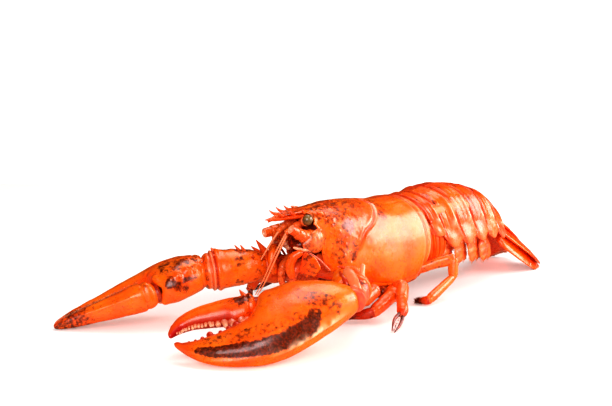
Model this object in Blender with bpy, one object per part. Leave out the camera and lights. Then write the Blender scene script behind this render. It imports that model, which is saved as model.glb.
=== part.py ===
"""A whole cooked American lobster, lying on its legs with both claws stretched forward.

Lengths below are millimetres. The head points to -Y, the animal's left side is +X and the floor is z = 0.
Every plate and limb segment is one closed solid, and neighbours are kept apart by JOINT_GAP.
"""

import math

import bmesh
import bpy
import numpy as np
from mathutils import Vector
from mathutils.bvhtree import BVHTree

MM = 0.001
JOINT_GAP = 0.35

# Body: the back line as (y, z), read along the middle from the shell's front to the last ring of the tail.
BACK_LINE = (
    (-84, 66.4), (-74, 66.9), (-65, 67.4), (-57, 67.8), (-44, 67.2), (-30, 65.9), (-17.5, 64.3),
    (-8, 64.8), (1, 64.2), (12, 64.4), (23.5, 66.6), (35, 67.8), (45, 67.4), (57, 65.4), (63, 64.0),
    (75.3, 58.7), (85.6, 50.1), (92, 42.0),
)
# Carapace: y, half width, height of the lower edge.
SHELL_PLAN = (
    (-81, 16.0, 38.5), (-76, 18.8, 34.5), (-70, 21.2, 30.0), (-60, 24.0, 23.0), (-48, 26.2, 17.0),
    (-34, 27.6, 12.8), (-18, 28.2, 11.5), (-6, 27.8, 13.0), (1, 26.6, 16.0),
)
SHELL_FRONT = -81.0
SHELL_REAR = 1.0
SHELL_SIDE_BULGE = 7.0
# Half section of the carapace: share of the way round, share of half width, share of height.
SHELL_SECTION = (
    (0.0, 0.0, 1.0), (0.10, 0.34, 0.975), (0.20, 0.64, 0.885), (0.30, 0.86, 0.73), (0.40, 0.975, 0.52),
    (0.50, 1.0, 0.32), (0.60, 0.955, 0.13), (0.68, 0.87, 0.0), (0.73, 0.80, 0.01), (0.80, 0.66, 0.19),
    (0.90, 0.33, 0.23), (1.0, 0.0, 0.24),
)
# Tail rings: half section, with the side lobes hanging below the belly.
RING_SECTION = (
    (0.0, 0.0, 1.0), (0.11, 0.36, 0.965), (0.22, 0.68, 0.85), (0.33, 0.90, 0.65), (0.44, 0.985, 0.42),
    (0.55, 1.0, 0.19), (0.65, 0.985, 0.0), (0.71, 0.90, 0.02), (0.79, 0.80, 0.19), (0.90, 0.40, 0.20),
    (1.0, 0.0, 0.20),
)
# The planes between tail rings: y of the back line, then (y, z) of the lower edge, and half width.
RING_PLANES = (
    (2.4, 13.0, 40.0, 22.0), (12.0, 22.5, 39.0, 24.5), (25.5, 37.0, 36.0, 26.2), (41.0, 51.0, 36.5, 25.8),
    (56.0, 64.5, 36.5, 24.2), (71.0, 78.5, 34.0, 21.5), (88.0, 93.0, 28.5, 17.0),
)
LOBE_DROP = (2.0, 8.0, 6.5, 6.5, 6.0, 4.5)
LOBE_BACK = (0.0, 1.0, 1.5, 2.0, 2.0, 1.5)

ROSTRUM = (
    (-78.0, 0.0, 62.0), (-84.0, 0.0, 62.4), (-92.0, 0.0, 62.2), (-100.0, 0.0, 61.8), (-107.4, 0.0, 62.3),
)
ROSTRUM_SPINES = ((-84.0, 6.0, 3.6), (-91.0, 4.3, 3.4), (-98.0, 2.6, 3.0))
EYE_CENTRE = (9.6, -84.2, 60.6)
EYE_DIAMETER = 7.0

# Big claws: wrist, fingertip, and the direction from the fixed finger to the moving one.
CRUSHER_WRIST = (74.0, -108.0, 29.0)
CRUSHER_TIP = (27.0, -197.0, 8.0)
CRUSHER_ACROSS = (-0.78, 0.43, 0.45)
CUTTER_WRIST = (-31.0, -133.0, 30.0)
CUTTER_TIP = (-72.0, -212.0, 1.6)
CUTTER_ACROSS = (0.888, -0.461, 0.0)


def unit(v):
    v = np.asarray(v, float)
    return v / np.linalg.norm(v)


def table(rows, x):
    """Smooth values at x through the rows (x, value, value...), never overshooting them."""
    rows = np.asarray(rows, float)
    xs, ys = rows[:, 0], rows[:, 1:]
    x = np.clip(np.atleast_1d(np.asarray(x, float)), xs[0], xs[-1])
    step = np.diff(xs)[:, None]
    slope = np.diff(ys, axis=0) / step
    tangent = np.zeros_like(ys)
    tangent[0], tangent[-1] = slope[0], slope[-1]
    same = slope[:-1] * slope[1:] > 0
    total = np.where(same, slope[:-1] + slope[1:], 1.0)
    tangent[1:-1] = np.where(same, 2.0 * slope[:-1] * slope[1:] / total, 0.0)
    i = np.clip(np.searchsorted(xs, x, side="right") - 1, 0, len(xs) - 2)
    t = ((x - xs[i]) / np.diff(xs)[i])[:, None]
    h = step[i]
    return (
        (2 * t**3 - 3 * t**2 + 1) * ys[i] + (t**3 - 2 * t**2 + t) * h * tangent[i]
        + (3 * t**2 - 2 * t**3) * ys[i + 1] + (t**3 - t**2) * h * tangent[i + 1]
    )


def route(keys, count):
    """Points evenly spaced along a smooth curve through the keys."""
    keys = np.asarray(keys, float)
    ends = np.vstack([2 * keys[0] - keys[1], keys, 2 * keys[-1] - keys[-2]])
    fine = [keys[0]]
    for i in range(len(keys) - 1):
        p0, p1, p2, p3 = ends[i:i + 4]
        for t in np.linspace(0, 1, 25)[1:]:
            fine.append(0.5 * (
                2 * p1 + (p2 - p0) * t + (2 * p0 - 5 * p1 + 4 * p2 - p3) * t**2
                + (3 * p1 - p0 - 3 * p2 + p3) * t**3
            ))
    fine = np.array(fine)
    run = np.concatenate([[0], np.cumsum(np.linalg.norm(np.diff(fine, axis=0), axis=1))])
    at = np.linspace(0, run[-1], count)
    return np.stack([np.interp(at, run, fine[:, k]) for k in range(3)], axis=1)


def loft(rings, flat_ends=False):
    """A closed surface through the rings. Each end closes onto its own middle, or as one flat face."""
    n = len(rings[0])
    points = [p for ring in rings for p in ring]
    faces = []
    for r in range(len(rings) - 1):
        for i in range(n):
            j = (i + 1) % n
            faces.append((r * n + i, r * n + j, (r + 1) * n + j, (r + 1) * n + i))
    if flat_ends:
        faces.append(tuple(range(n))[::-1])
        faces.append(tuple(range((len(rings) - 1) * n, len(rings) * n)))
        return np.array(points), faces
    first = len(points)
    points.append(np.mean(rings[0], axis=0))
    points.append(np.mean(rings[-1], axis=0))
    last_ring = (len(rings) - 1) * n
    for i in range(n):
        j = (i + 1) % n
        faces.append((first, j, i))
        faces.append((first + 1, last_ring + i, last_ring + j))
    return np.array(points), faces


def oval(around, square=2.0):
    angle = np.linspace(0, 2 * math.pi, around, endpoint=False)
    c, s = np.cos(angle), np.sin(angle)
    power = 2.0 / square
    return np.sign(c) * np.abs(c)**power, np.sign(s) * np.abs(s)**power


def tube(keys, sizes, ref=(0, 0, 1), count=8, around=10, square=2.0, ends=(0.6, 0.6)):
    """A limb segment: sizes are (share of length, half width, half height), the height lying along ref."""
    centre = route(keys, count)
    size = table(sizes, np.linspace(0, 1, count))
    tangent = np.gradient(centre, axis=0)
    c, s = oval(around, square)
    rings = []

    def ring(k, shrink=1.0, ahead=0.0):
        t = unit(tangent[k])
        side = unit(np.cross(t, ref))
        up = np.cross(side, t)
        w, h = size[k][:2] * shrink
        return centre[k] + t * ahead + np.outer(c * w, side) + np.outer(s * h, up)

    for k in range(count):
        if k == 0 and ends[0]:
            rings.append(ring(0, 0.65, -0.75 * ends[0] * min(size[0][:2])))
        rings.append(ring(k))
        if k == count - 1 and ends[1]:
            rings.append(ring(k, 0.65, 0.75 * ends[1] * min(size[-1][:2])))
    return loft(rings)


def claw_frame(wrist, tip, across):
    axis = unit(np.subtract(tip, wrist))
    across = np.asarray(across, float)
    across = unit(across - axis * across.dot(axis))
    normal = np.cross(across, axis)
    if normal[2] < 0:
        normal = -normal
    return np.asarray(wrist, float), axis, across, normal


def slab(frame, rows, count=12, around=12, square=2.2):
    """A flat claw piece: rows are (distance along, low edge, high edge, height above, depth below, lift)."""
    origin, axis, across, normal = frame
    rows = np.asarray(rows, float)
    share = 0.5 - 0.5 * np.cos(np.linspace(0, math.pi, count))
    at = rows[0, 0] + (rows[-1, 0] - rows[0, 0]) * (0.45 * share + 0.55 * np.linspace(0, 1, count))
    values = table(rows, at)
    c, s = oval(around, square)
    rings = []
    for along, (low, high, above, below, lift) in zip(at, values):
        thick = np.where(s > 0, above, below)
        rings.append(
            origin + axis * along
            + np.outer((low + high) / 2 + c * (high - low) / 2, across)
            + np.outer(lift + s * thick, normal)
        )
    return loft(rings)


def shell_ring(section, top, low, width, around, bulge=None):
    """One ring of a plate, from the middle of the back down one side, across the belly and up the other."""
    half = around // 2
    share = np.linspace(0, 1, half + 1)
    profile = table(section, share)
    x = profile[:, 0] * width
    y = low[0] + (top[0] - low[0]) * profile[:, 1]
    z = low[1] + (top[1] - low[1]) * profile[:, 1]
    if bulge is not None:
        y = y + bulge(profile[:, 1])
    one = np.stack([x, y, z], axis=1)
    other = one[1:-1][::-1] * (-1, 1, 1)
    return np.vstack([one, other])


def mesh_object(name, points, faces):
    mesh = bpy.data.meshes.new(name)
    mesh.from_pydata([tuple(p) for p in points], [], faces)
    work = bmesh.new()
    work.from_mesh(mesh)
    bmesh.ops.triangulate(work, faces=work.faces[:])
    bmesh.ops.remove_doubles(work, verts=work.verts[:], dist=1e-4)
    bmesh.ops.recalc_face_normals(work, faces=work.faces[:])
    work.to_mesh(mesh)
    work.free()
    obj = bpy.data.objects.new(name, mesh)
    bpy.context.scene.collection.objects.link(obj)
    return obj


def boolean(obj, other, operation):
    """Joins other to obj, or takes it away from obj, and throws other away."""
    modifier = obj.modifiers.new("join", "BOOLEAN")
    modifier.operation = operation
    modifier.solver = "MANIFOLD"
    modifier.object = other
    bpy.context.view_layer.update()
    graph = bpy.context.evaluated_depsgraph_get()
    made = bpy.data.meshes.new_from_object(obj.evaluated_get(graph))
    obj.modifiers.clear()
    old = obj.data
    obj.data = made
    bpy.data.meshes.remove(old)
    bpy.data.objects.remove(other)


def keep_largest(obj):
    """Throws away the crumbs that a cut leaves beside the piece."""
    work = bmesh.new()
    work.from_mesh(obj.data)
    bmesh.ops.triangulate(work, faces=work.faces[:])
    work.faces.ensure_lookup_table()
    left = set(work.faces)
    groups = []
    while left:
        seed = left.pop()
        group, stack = {seed}, [seed]
        while stack:
            for edge in stack.pop().edges:
                for face in edge.link_faces:
                    if face in left:
                        left.remove(face)
                        group.add(face)
                        stack.append(face)
        groups.append(group)
    groups.sort(key=lambda g: -sum(f.calc_area() for f in g))
    for group in groups[1:]:
        bmesh.ops.delete(work, geom=list(group), context="FACES")
    loose = [v for v in work.verts if not v.link_faces]
    bmesh.ops.delete(work, geom=loose, context="VERTS")
    work.to_mesh(obj.data)
    work.free()


def grown(obj, by):
    """A copy of obj whose surface stands out by this much."""
    work = bmesh.new()
    work.from_mesh(obj.data)
    work.normal_update()
    moves = [v.normal * by for v in work.verts]
    for v, move in zip(work.verts, moves):
        v.co += move
    mesh = bpy.data.meshes.new("grown")
    work.to_mesh(mesh)
    work.free()
    copy = bpy.data.objects.new("grown", mesh)
    copy.hide_render = True
    bpy.context.scene.collection.objects.link(copy)
    return copy


def tree_of(obj, by=0.0):
    work = bmesh.new()
    work.from_mesh(obj.data)
    work.normal_update()
    if by:
        for v, move in zip(work.verts, [v.normal * by for v in work.verts]):
            v.co += move
    tree = BVHTree.FromBMesh(work)
    work.free()
    return tree


def separate(objects):
    """Cuts each piece back from the pieces before it in the list, leaving JOINT_GAP between them."""
    boxes = {}

    def box(obj):
        co = np.array([v.co[:] for v in obj.data.vertices])
        return co.min(axis=0) - JOINT_GAP, co.max(axis=0) + JOINT_GAP

    for obj in objects:
        boxes[obj.name] = box(obj)
    for i, later in enumerate(objects):
        for first in objects[:i]:
            a, b = boxes[first.name], boxes[later.name]
            if (a[0] > b[1]).any() or (b[0] > a[1]).any():
                continue
            fat = tree_of(first, JOINT_GAP)
            if not fat.overlap(tree_of(later)):
                continue
            boolean(later, grown(first, JOINT_GAP), "DIFFERENCE")
            keep_largest(later)
            boxes[later.name] = box(later)


def carapace():
    ys = list(np.linspace(SHELL_FRONT, -30, 8)) + [-21, -18, -16.5, -15, -7, SHELL_REAR]
    rings = []
    for y in ys:
        top = table(BACK_LINE, y)[0, 0]
        width, low = table(SHELL_PLAN, y)[0]
        back = max(0.0, (y + 45.0) / (SHELL_REAR + 45.0))
        groove = 0.9 if y == -16.5 else 0.0

        def bulge(height, back=back):
            side = np.clip(1.0 - height, 0, 1)
            return SHELL_SIDE_BULGE * back**2 * np.sin(math.pi * np.clip(side * 1.05, 0, 1))**1.0

        rings.append(shell_ring(SHELL_SECTION, (y, top - groove), (y, low), width - groove, 22, bulge))
    body = mesh_object("carapace", *loft(rings))
    keys = [(x, y, z) for y, x, z in ROSTRUM]
    snout = tube(keys, ((0, 8.6, 4.2), (0.25, 7.4, 3.8), (0.5, 5.0, 3.0), (0.8, 2.2, 1.8), (1, 0.5, 0.6)),
                 count=6, around=8, ends=(0, 0.8))
    boolean(body, mesh_object("snout", *snout), "UNION")
    for y, x, reach in ROSTRUM_SPINES:
        for side in (-1, 1):
            base = (side * (x - 1.6), y + 1.5, 63.6)
            end = (side * (x + 0.6), y - reach, 66.6)
            spine = tube((base, end), ((0, 1.5, 1.3), (1, 0.3, 0.3)), count=2, around=5, ends=(0, 0))
            boolean(body, mesh_object("spine", *spine), "UNION")
    return body


def thorax_underside():
    rows = ((-64, 7, 21, 27), (-52, 10, 15.5, 25), (-34, 12.5, 12.0, 22), (-16, 13, 11.0, 22), (-2, 11, 13, 24))
    rings = []
    for y in np.linspace(-64, -2, 7):
        width, low, top = table(rows, y)[0]
        c, s = oval(12, 3.0)
        rings.append(np.stack([c * width, np.full(12, y), (low + top) / 2 + s * (top - low) / 2], axis=1))
    return mesh_object("thorax_underside", *loft(rings))


def somite(index):
    """One tail ring, between two of the planes, with its hanging side lobes."""
    y0, ly0, lz0, w0 = RING_PLANES[index]
    y1, ly1, lz1, w1 = RING_PLANES[index + 1]
    z0, z1 = table(BACK_LINE, y0)[0, 0], table(BACK_LINE, y1)[0, 0]
    rings = []
    for s in (0.03, 0.14, 0.4, 0.7, 0.97):
        y = y0 + (y1 - y0) * s
        z = table(BACK_LINE, y)[0, 0] if index else z0 + (z1 - z0) * s
        step = 1.3 * (1.0 - min(1.0, s / 0.25))**1.0
        lobe = math.sin(math.pi * min(1.0, 0.08 + 0.92 * s))**0.8
        low_y = ly0 + (ly1 - ly0) * s + LOBE_BACK[index] * lobe
        low_z = lz0 + (lz1 - lz0) * s - LOBE_DROP[index] * lobe
        width = w0 + (w1 - w0) * s - step
        rings.append(shell_ring(RING_SECTION, (y, z - step), (low_y, low_z), width, 22))
    return mesh_object(f"somite_{index + 1}", *loft(rings, flat_ends=True))


def blade_between(name, base, tip, across, rows, bend=0.0, count=6, around=10):
    """A thin tail-fan blade: rows are (share of length, half width, half thickness)."""
    base, tip = np.asarray(base, float), np.asarray(tip, float)
    axis = unit(tip - base)
    across = unit(np.asarray(across, float) - axis * np.dot(across, axis))
    normal = np.cross(axis, across)
    if normal[2] < 0:
        normal = -normal
    c, s = oval(around, 2.6)
    rings = []
    for share in np.linspace(0, 1, count):
        width, thick = table(rows, share)[0]
        centre = base + (tip - base) * share + normal * bend * math.sin(math.pi * share)
        sag = -bend * 0.6 * c**2
        rings.append(centre + np.outer(c * width, across) + np.outer(s * thick + sag, normal))
    return mesh_object(name, *loft(rings))


def tail_fan():
    telson = ((0, 9.5, 2.0), (0.3, 11.0, 1.8), (0.7, 10.4, 1.4), (0.93, 8.5, 1.0), (1, 6.0, 0.6))
    uropod = ((0, 4.0, 2.0), (0.2, 7.5, 1.8), (0.6, 10.5, 1.4), (0.9, 8.5, 0.9), (1, 5.0, 0.6))
    made = [blade_between("telson", (0, 92.0, 37.5), (0, 126.0, 12.0), (1, 0, 0), telson, bend=1.0)]
    for name, side in (("left", 1), ("right", -1)):
        made.append(blade_between(
            f"uropod_{name}_inner", (side * 8, 92, 32), (side * 16, 131, 3.6), (1, 0, -0.5 * side), uropod, 1.0))
        made.append(blade_between(
            f"uropod_{name}_outer", (side * 12, 91, 25), (side * 19, 127.5, 2.0), (1, 0, -1.0 * side), uropod, 1.0))
    return made


def ball(name, centre, diameter, around=9):
    angle = np.linspace(0, math.pi, 7)[1:-1]
    rings = []
    turn = np.linspace(0, 2 * math.pi, around, endpoint=False)
    for a in angle:
        r = math.sin(a) * diameter / 2
        rings.append(np.stack([
            centre[0] + np.full(around, math.cos(a) * diameter / 2),
            centre[1] + np.cos(turn) * r, centre[2] + np.sin(turn) * r,
        ], axis=1))
    return mesh_object(name, *loft(rings))


def mirrored(keys, side):
    return [(x * side, y, z) for x, y, z in keys]


def head_parts():
    made = []
    for name, side in (("left", 1), ("right", -1)):
        centre = (EYE_CENTRE[0] * side, EYE_CENTRE[1], EYE_CENTRE[2])
        made.append(ball(f"eye_{name}", centre, EYE_DIAMETER))
        ahead = (10.0, -98.0, 57.0) if side > 0 else (13.5, -99.0, 51.0)
        feeler = tube(mirrored(((11, -82, 50), (11.5, -90, 52), ahead), side),
                      ((0, 4.2, 4.2), (0.5, 3.6, 3.6), (1, 2.8, 2.8)), count=4, around=10, ends=(0.5, 0.12))
        made.append(mesh_object(f"antenna_{name}", *feeler))
        scale = tube(mirrored(((15.5, -79, 49), (15.5, -84, 48), (14, -91, 47)), side),
                     ((0, 2.2, 6.0), (0.5, 2.4, 7.0), (1, 1.2, 2.6)), count=4, around=8)
        made.append(mesh_object(f"antenna_scale_{name}", *scale))
    whips = {
        "left": ((4, -90, 56.5), (2, -96, 52), (-1.5, -101, 40), (-8, -104, 24), (-16, -104, 13)),
        "right": ((-4, -90, 56.5), (-4.5, -96, 52), (-7, -101, 44), (-11, -105, 34), (-14, -106, 27)),
    }
    for name, keys in whips.items():
        whip = tube(keys, ((0, 2.0, 2.0), (0.25, 1.3, 1.3), (0.4, 0.8, 0.8), (1, 0.45, 0.45)),
                    ref=(0.5, 0.2, 1), count=8, around=5)
        made.append(mesh_object(f"antennule_{name}", *whip))
    for name, side in (("left", 1), ("right", -1)):
        jaw = tube(mirrored(((6.5, -58, 23), (7.5, -72, 30), (7, -85, 33), (5.5, -92, 27), (5, -91, 18)), side),
                   ((0, 3.0, 4.0), (0.3, 4.8, 5.0), (0.6, 3.6, 4.2), (0.8, 2.8, 3.0), (1, 1.6, 1.8)),
                   ref=(0, 0.4, 1), count=7, around=8)
        made.append(mesh_object(f"maxilliped_{name}", *jaw))
    return made


def crusher():
    frame = claw_frame(CRUSHER_WRIST, CRUSHER_TIP, CRUSHER_ACROSS)
    palm = slab(frame, (
        (-1.0, -6.0, 5.0, 6.0, 6.0, 0.0), (4.0, -9.5, 8.8, 9.4, 9.0, 0.0),
        (11.0, -12.5, 13.5, 11.6, 11.5, 0.0), (21.0, -16.5, 17.7, 13.2, 13.5, 0.0),
        (33.0, -21.5, 20.7, 13.8, 14.0, 0.0), (44.5, -25.3, 20.4, 13.5, 13.5, 0.0),
        (50.0, -26.3, 17.0, 13.0, 12.5, 0.0), (55.0, -26.8, 8.5, 12.0, 11.5, 0.0),
        (62.0, -26.6, 2.0, 10.5, 10.0, 0.0), (71.0, -24.8, 1.0, 8.8, 8.5, 0.0),
        (81.0, -21.2, -0.3, 7.0, 7.0, 0.0), (91.0, -14.8, -0.6, 5.0, 5.0, 0.0),
        (98.0, -7.0, 1.2, 3.0, 3.0, 0.0), (102.2, -0.5, 3.6, 1.2, 1.2, 0.0),
    ), count=14, around=14)
    finger = slab(frame, (
        (52.0, 10.0, 19.5, 6.0, 6.0, 0.0), (55.5, 8.0, 22.0, 8.5, 8.0, 0.0),
        (61.0, 5.5, 21.8, 8.2, 8.0, 0.0), (66.0, 5.5, 22.6, 7.6, 7.6, 0.0),
        (72.0, 8.4, 23.2, 7.0, 7.0, 0.0), (80.0, 10.4, 23.4, 6.2, 6.2, 0.0),
        (88.5, 12.0, 22.2, 5.2, 5.2, 0.0), (95.5, 11.4, 19.8, 4.1, 4.1, 0.0),
        (101.0, 9.2, 16.0, 2.8, 2.8, 0.0), (103.6, 9.0, 13.0, 1.2, 1.2, 0.0),
    ), count=10, around=10)
    wrist = tube(((52.5, -87, 31.5), (60, -97, 32), (71, -105, 29.5)),
                 ((0, 7.5, 8.0), (0.45, 10.4, 11.4), (0.8, 10.4, 10.2), (1, 8.2, 8.0)),
                 ref=(-0.5, -0.3, 0.8), count=6, around=10)
    arm = tube(((28, -68, 20.5), (39.5, -76, 25.5), (51, -85.5, 31)),
               ((0, 5.2, 6.5), (0.5, 7.0, 9.2), (0.9, 7.2, 9.2), (1, 6.4, 7.6)),
               ref=(0, 0, 1), count=5, around=10, square=2.4)
    base = tube(((13, -60, 17), (19, -62.5, 17.5), (26, -67, 19.5)),
                ((0, 5.0, 5.5), (0.5, 6.0, 6.0), (1, 5.2, 5.8)), count=4, around=8)
    return [
        mesh_object("crusher_palm", *palm), mesh_object("crusher_finger", *finger),
        mesh_object("crusher_wrist", *wrist), mesh_object("crusher_arm", *arm),
        mesh_object("crusher_base", *base),
    ]


def cutter():
    frame = claw_frame(CUTTER_WRIST, CUTTER_TIP, CUTTER_ACROSS)
    palm = slab(frame, (
        (-1.0, -8.0, 8.0, 9.0, 9.0, 0.0), (4.0, -11.5, 11.5, 11.3, 10.6, 0.0),
        (12.0, -16.0, 16.0, 13.0, 11.4, 0.0), (21.0, -19.0, 18.5, 13.2, 11.6, 0.0),
        (28.0, -20.0, 15.5, 12.2, 11.0, 0.0), (33.0, -20.0, 5.0, 10.5, 10.2, 0.0),
        (40.0, -19.0, 0.2, 9.0, 9.0, 0.0), (52.0, -16.0, -0.3, 7.4, 7.4, 0.0),
        (66.0, -12.0, -0.3, 6.0, 6.0, 0.0), (80.0, -7.5, -0.3, 4.4, 4.4, 0.0),
        (90.0, -4.0, -0.3, 2.6, 2.6, 0.0), (93.4, -2.2, -0.4, 1.2, 1.2, 0.0),
    ), count=13, around=12)
    finger = slab(frame, (
        (32.0, 8.0, 16.0, 6.0, 5.0, 0.0), (36.0, 4.0, 17.0, 8.6, 7.4, 0.0),
        (42.0, 0.6, 16.8, 8.8, 8.2, 0.0), (52.0, 0.1, 14.4, 7.3, 7.3, 0.0),
        (66.0, 0.1, 10.6, 5.9, 5.9, 0.0), (80.0, 0.1, 6.8, 4.3, 4.3, 0.0),
        (89.5, 0.1, 3.8, 2.5, 2.5, 0.0), (93.0, 0.2, 2.2, 1.2, 1.2, 0.0),
    ), count=10, around=10)
    wrist = tube(((-16.5, -103, 30.5), (-22, -116, 30.8), (-30, -130, 29.3)),
                 ((0, 8.5, 9.0), (0.35, 11.5, 11.0), (0.75, 12.5, 11.8), (1, 10.0, 10.5)),
                 count=6, around=10, ends=(0.6, 0.15))
    arm = tube(((-18.5, -70, 21.5), (-18, -84, 26), (-16.5, -99.5, 30.5)),
               ((0, 5.5, 6.5), (0.5, 7.5, 9.0), (0.9, 8.5, 9.5), (1, 7.0, 8.0)),
               count=5, around=10, square=2.4)
    base = tube(((-12, -59, 17.5), (-15, -62.5, 18), (-18, -68, 20.5)),
                ((0, 5.0, 5.5), (0.5, 5.8, 6.0), (1, 5.2, 5.8)), count=4, around=8)
    return [
        mesh_object("cutter_palm", *palm), mesh_object("cutter_finger", *finger),
        mesh_object("cutter_wrist", *wrist), mesh_object("cutter_arm", *arm),
        mesh_object("cutter_base", *base),
    ]


# Walking legs: the joints of the upper part, then of the lower part.
LEGS = {
    "leg_left_2": (
        ((13, -50, 14), (24, -52, 10), (38, -54, 16)), ((39.5, -58, 17), (39.5, -67, 13.5), (31, -80, 7.5), (21, -91, 2.2)),
    ),
    "leg_left_3": (
        ((14, -36, 13), (28, -35, 9), (44.5, -37, 18)), ((47, -40, 18), (52, -46, 13), (62, -56, 8.2), (68, -69.5, 1.2)),
    ),
    "leg_left_4": (
        ((14, -22, 13), (24, -25, 8.5), (36, -31, 13.5)), ((39, -35.5, 13.5), (42.5, -44, 13), (44, -62, 6), (33, -75, 2.4)),
    ),
    "leg_left_5": (
        ((13, -9, 15), (22, -3, 18), (36, 17, 25.5)), ((38, 17.8, 20.5), (37.8, 15, 13.5), (40, -9, 3.2), (31, -12, 1.6)),
    ),
    "leg_right_2": (
        ((-13, -50, 14), (-24, -62, 14), (-34, -79, 19)), ((-35.6, -82.5, 18), (-38, -90, 12), (-38.5, -89, 3)),
    ),
    "leg_right_3": (
        ((-14, -36, 13), (-28, -36, 9), (-45, -38, 17)), ((-47, -41.5, 16), (-52, -50, 11), (-61, -68, 1.0)),
    ),
    "leg_right_4": (
        ((-14, -22, 13), (-24, -24, 8.5), (-38, -25, 14)), ((-40, -28.5, 13), (-46, -46, 6), (-44, -62, 1.4)),
    ),
    "leg_right_5": (
        ((-13, -9, 15), (-22, -3, 17), (-35, 16, 24)), ((-37.5, 16.8, 19), (-40, 12, 12), (-44, -11, 3), (-36, -16, 1.6)),
    ),
}


def legs():
    made = []
    for name, (upper, lower) in LEGS.items():
        thick = tube(upper, ((0, 3.4, 3.8), (0.35, 2.8, 3.3), (0.8, 3.2, 3.8), (1, 2.8, 3.2)), count=5, around=7)
        thin = tube(lower, ((0, 2.8, 3.1), (0.3, 3.2, 3.6), (0.7, 2.7, 3.0), (1, 0.9, 1.0)), count=6, around=7)
        made.append(mesh_object(f"{name}_upper", *thick))
        made.append(mesh_object(f"{name}_lower", *thin))
    return made


def swimmerets():
    made = []
    places = ((2, 30, 42.0, 12), (3, 44, 42.5, 12.5), (4, 58, 41.0, 12), (5, 71, 37.5, 11))
    for number, y, z, x in places:
        for name, side in (("left", 1), ("right", -1)):
            low = 16.5 - 1.4 * number + 2.0
            paddle = tube(((side * x, y, z), (side * (x + 2.5), y + 1.5, (z + low) / 2), (side * (x + 4), y + 6, low)),
                          ((0, 2.6, 1.6), (0.4, 4.6, 1.5), (0.8, 4.8, 1.3), (1, 2.4, 0.8)),
                          ref=(0.9 * side, 0.2, 0.0), count=5, around=6)
            made.append(mesh_object(f"swimmeret_{name}_{number}", *paddle))
    return made


SHELL = ((0.90, 0.24, 0.03, 1.0), 0.32)
LIMB = ((0.88, 0.22, 0.03, 1.0), 0.35)
CLAW = ((0.86, 0.19, 0.03, 1.0), 0.30)
SOFT = ((0.92, 0.38, 0.06, 1.0), 0.50)
EYE = ((0.05, 0.04, 0.03, 1.0), 0.12)
LOOKS = (
    ("eye", EYE), ("swimmeret", SOFT), ("thorax", SOFT), ("maxilliped", LIMB), ("leg", LIMB),
    ("crusher", CLAW), ("cutter", CLAW), ("", SHELL),
)


def paint(obj):
    colour, roughness = next(look for start, look in LOOKS if obj.name.startswith(start))
    material = bpy.data.materials.new(obj.name)
    material.use_nodes = True
    shader = material.node_tree.nodes["Principled BSDF"]
    shader.inputs["Base Color"].default_value = colour
    shader.inputs["Roughness"].default_value = roughness
    shader.inputs["Metallic"].default_value = 0.0
    obj.data.materials.clear()
    obj.data.materials.append(material)


def main():
    for obj in list(bpy.data.objects):
        bpy.data.objects.remove(obj)
    pieces = [carapace(), thorax_underside()]
    pieces += [somite(i) for i in range(6)]
    pieces += tail_fan()
    pieces += crusher()
    pieces += cutter()
    pieces += head_parts()
    pieces += legs()
    pieces += swimmerets()
    for obj in pieces:
        for v in obj.data.vertices:
            v.co.z = max(v.co.z, 0.0)
    separate(pieces)
    co = np.array([v.co[:] for obj in pieces for v in obj.data.vertices])
    low, high = co.min(axis=0), co.max(axis=0)
    origin = Vector(((low[0] + high[0]) / 2, (low[1] + high[1]) / 2, low[2]))
    for obj in pieces:
        for v in obj.data.vertices:
            v.co = (v.co - origin) * MM
        obj.data.update()
        paint(obj)


main()
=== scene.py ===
"""Looks for the cooked lobster: fine shell plates, claws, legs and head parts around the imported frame.

Shapes are worked out in the animal's own frame, in millimetres (head to -Y, left side +X, floor z = 0),
and moved to the frame's metres by place().
"""
import math

import bpy
import numpy as np
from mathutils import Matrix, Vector


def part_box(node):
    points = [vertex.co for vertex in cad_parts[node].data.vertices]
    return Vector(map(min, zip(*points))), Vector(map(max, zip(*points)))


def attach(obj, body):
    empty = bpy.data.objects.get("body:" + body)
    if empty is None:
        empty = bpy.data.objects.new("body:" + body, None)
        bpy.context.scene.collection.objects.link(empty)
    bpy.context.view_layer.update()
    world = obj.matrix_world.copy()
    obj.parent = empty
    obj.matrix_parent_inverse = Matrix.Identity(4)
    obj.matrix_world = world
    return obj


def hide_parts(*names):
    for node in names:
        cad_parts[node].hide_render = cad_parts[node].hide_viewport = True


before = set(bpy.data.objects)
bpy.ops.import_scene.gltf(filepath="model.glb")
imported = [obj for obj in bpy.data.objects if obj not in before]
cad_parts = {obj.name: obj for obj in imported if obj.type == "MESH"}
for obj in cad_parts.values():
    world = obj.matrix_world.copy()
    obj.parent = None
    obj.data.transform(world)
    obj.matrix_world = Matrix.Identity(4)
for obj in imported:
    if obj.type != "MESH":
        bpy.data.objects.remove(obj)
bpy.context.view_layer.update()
MM = 0.001

# The animal's own origin in the frame: the belly plate runs from y = -64 to -2, evenly about x = 0.
belly_low, belly_high = (np.array(c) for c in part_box("thorax_underside"))
HOME = np.array([(belly_low[0] + belly_high[0]) / 2, belly_low[1] + 0.064, 0.0])


def place(points):
    """The animal's millimetres in the frame's metres."""
    return np.asarray(points, float) * MM + HOME


# ---------------------------------------------------------------- numbers

def unit(v):
    """The vector, or each row of vectors, at length one."""
    v = np.asarray(v, float)
    return v / np.maximum(np.linalg.norm(v, axis=-1, keepdims=True), 1e-12)


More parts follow.
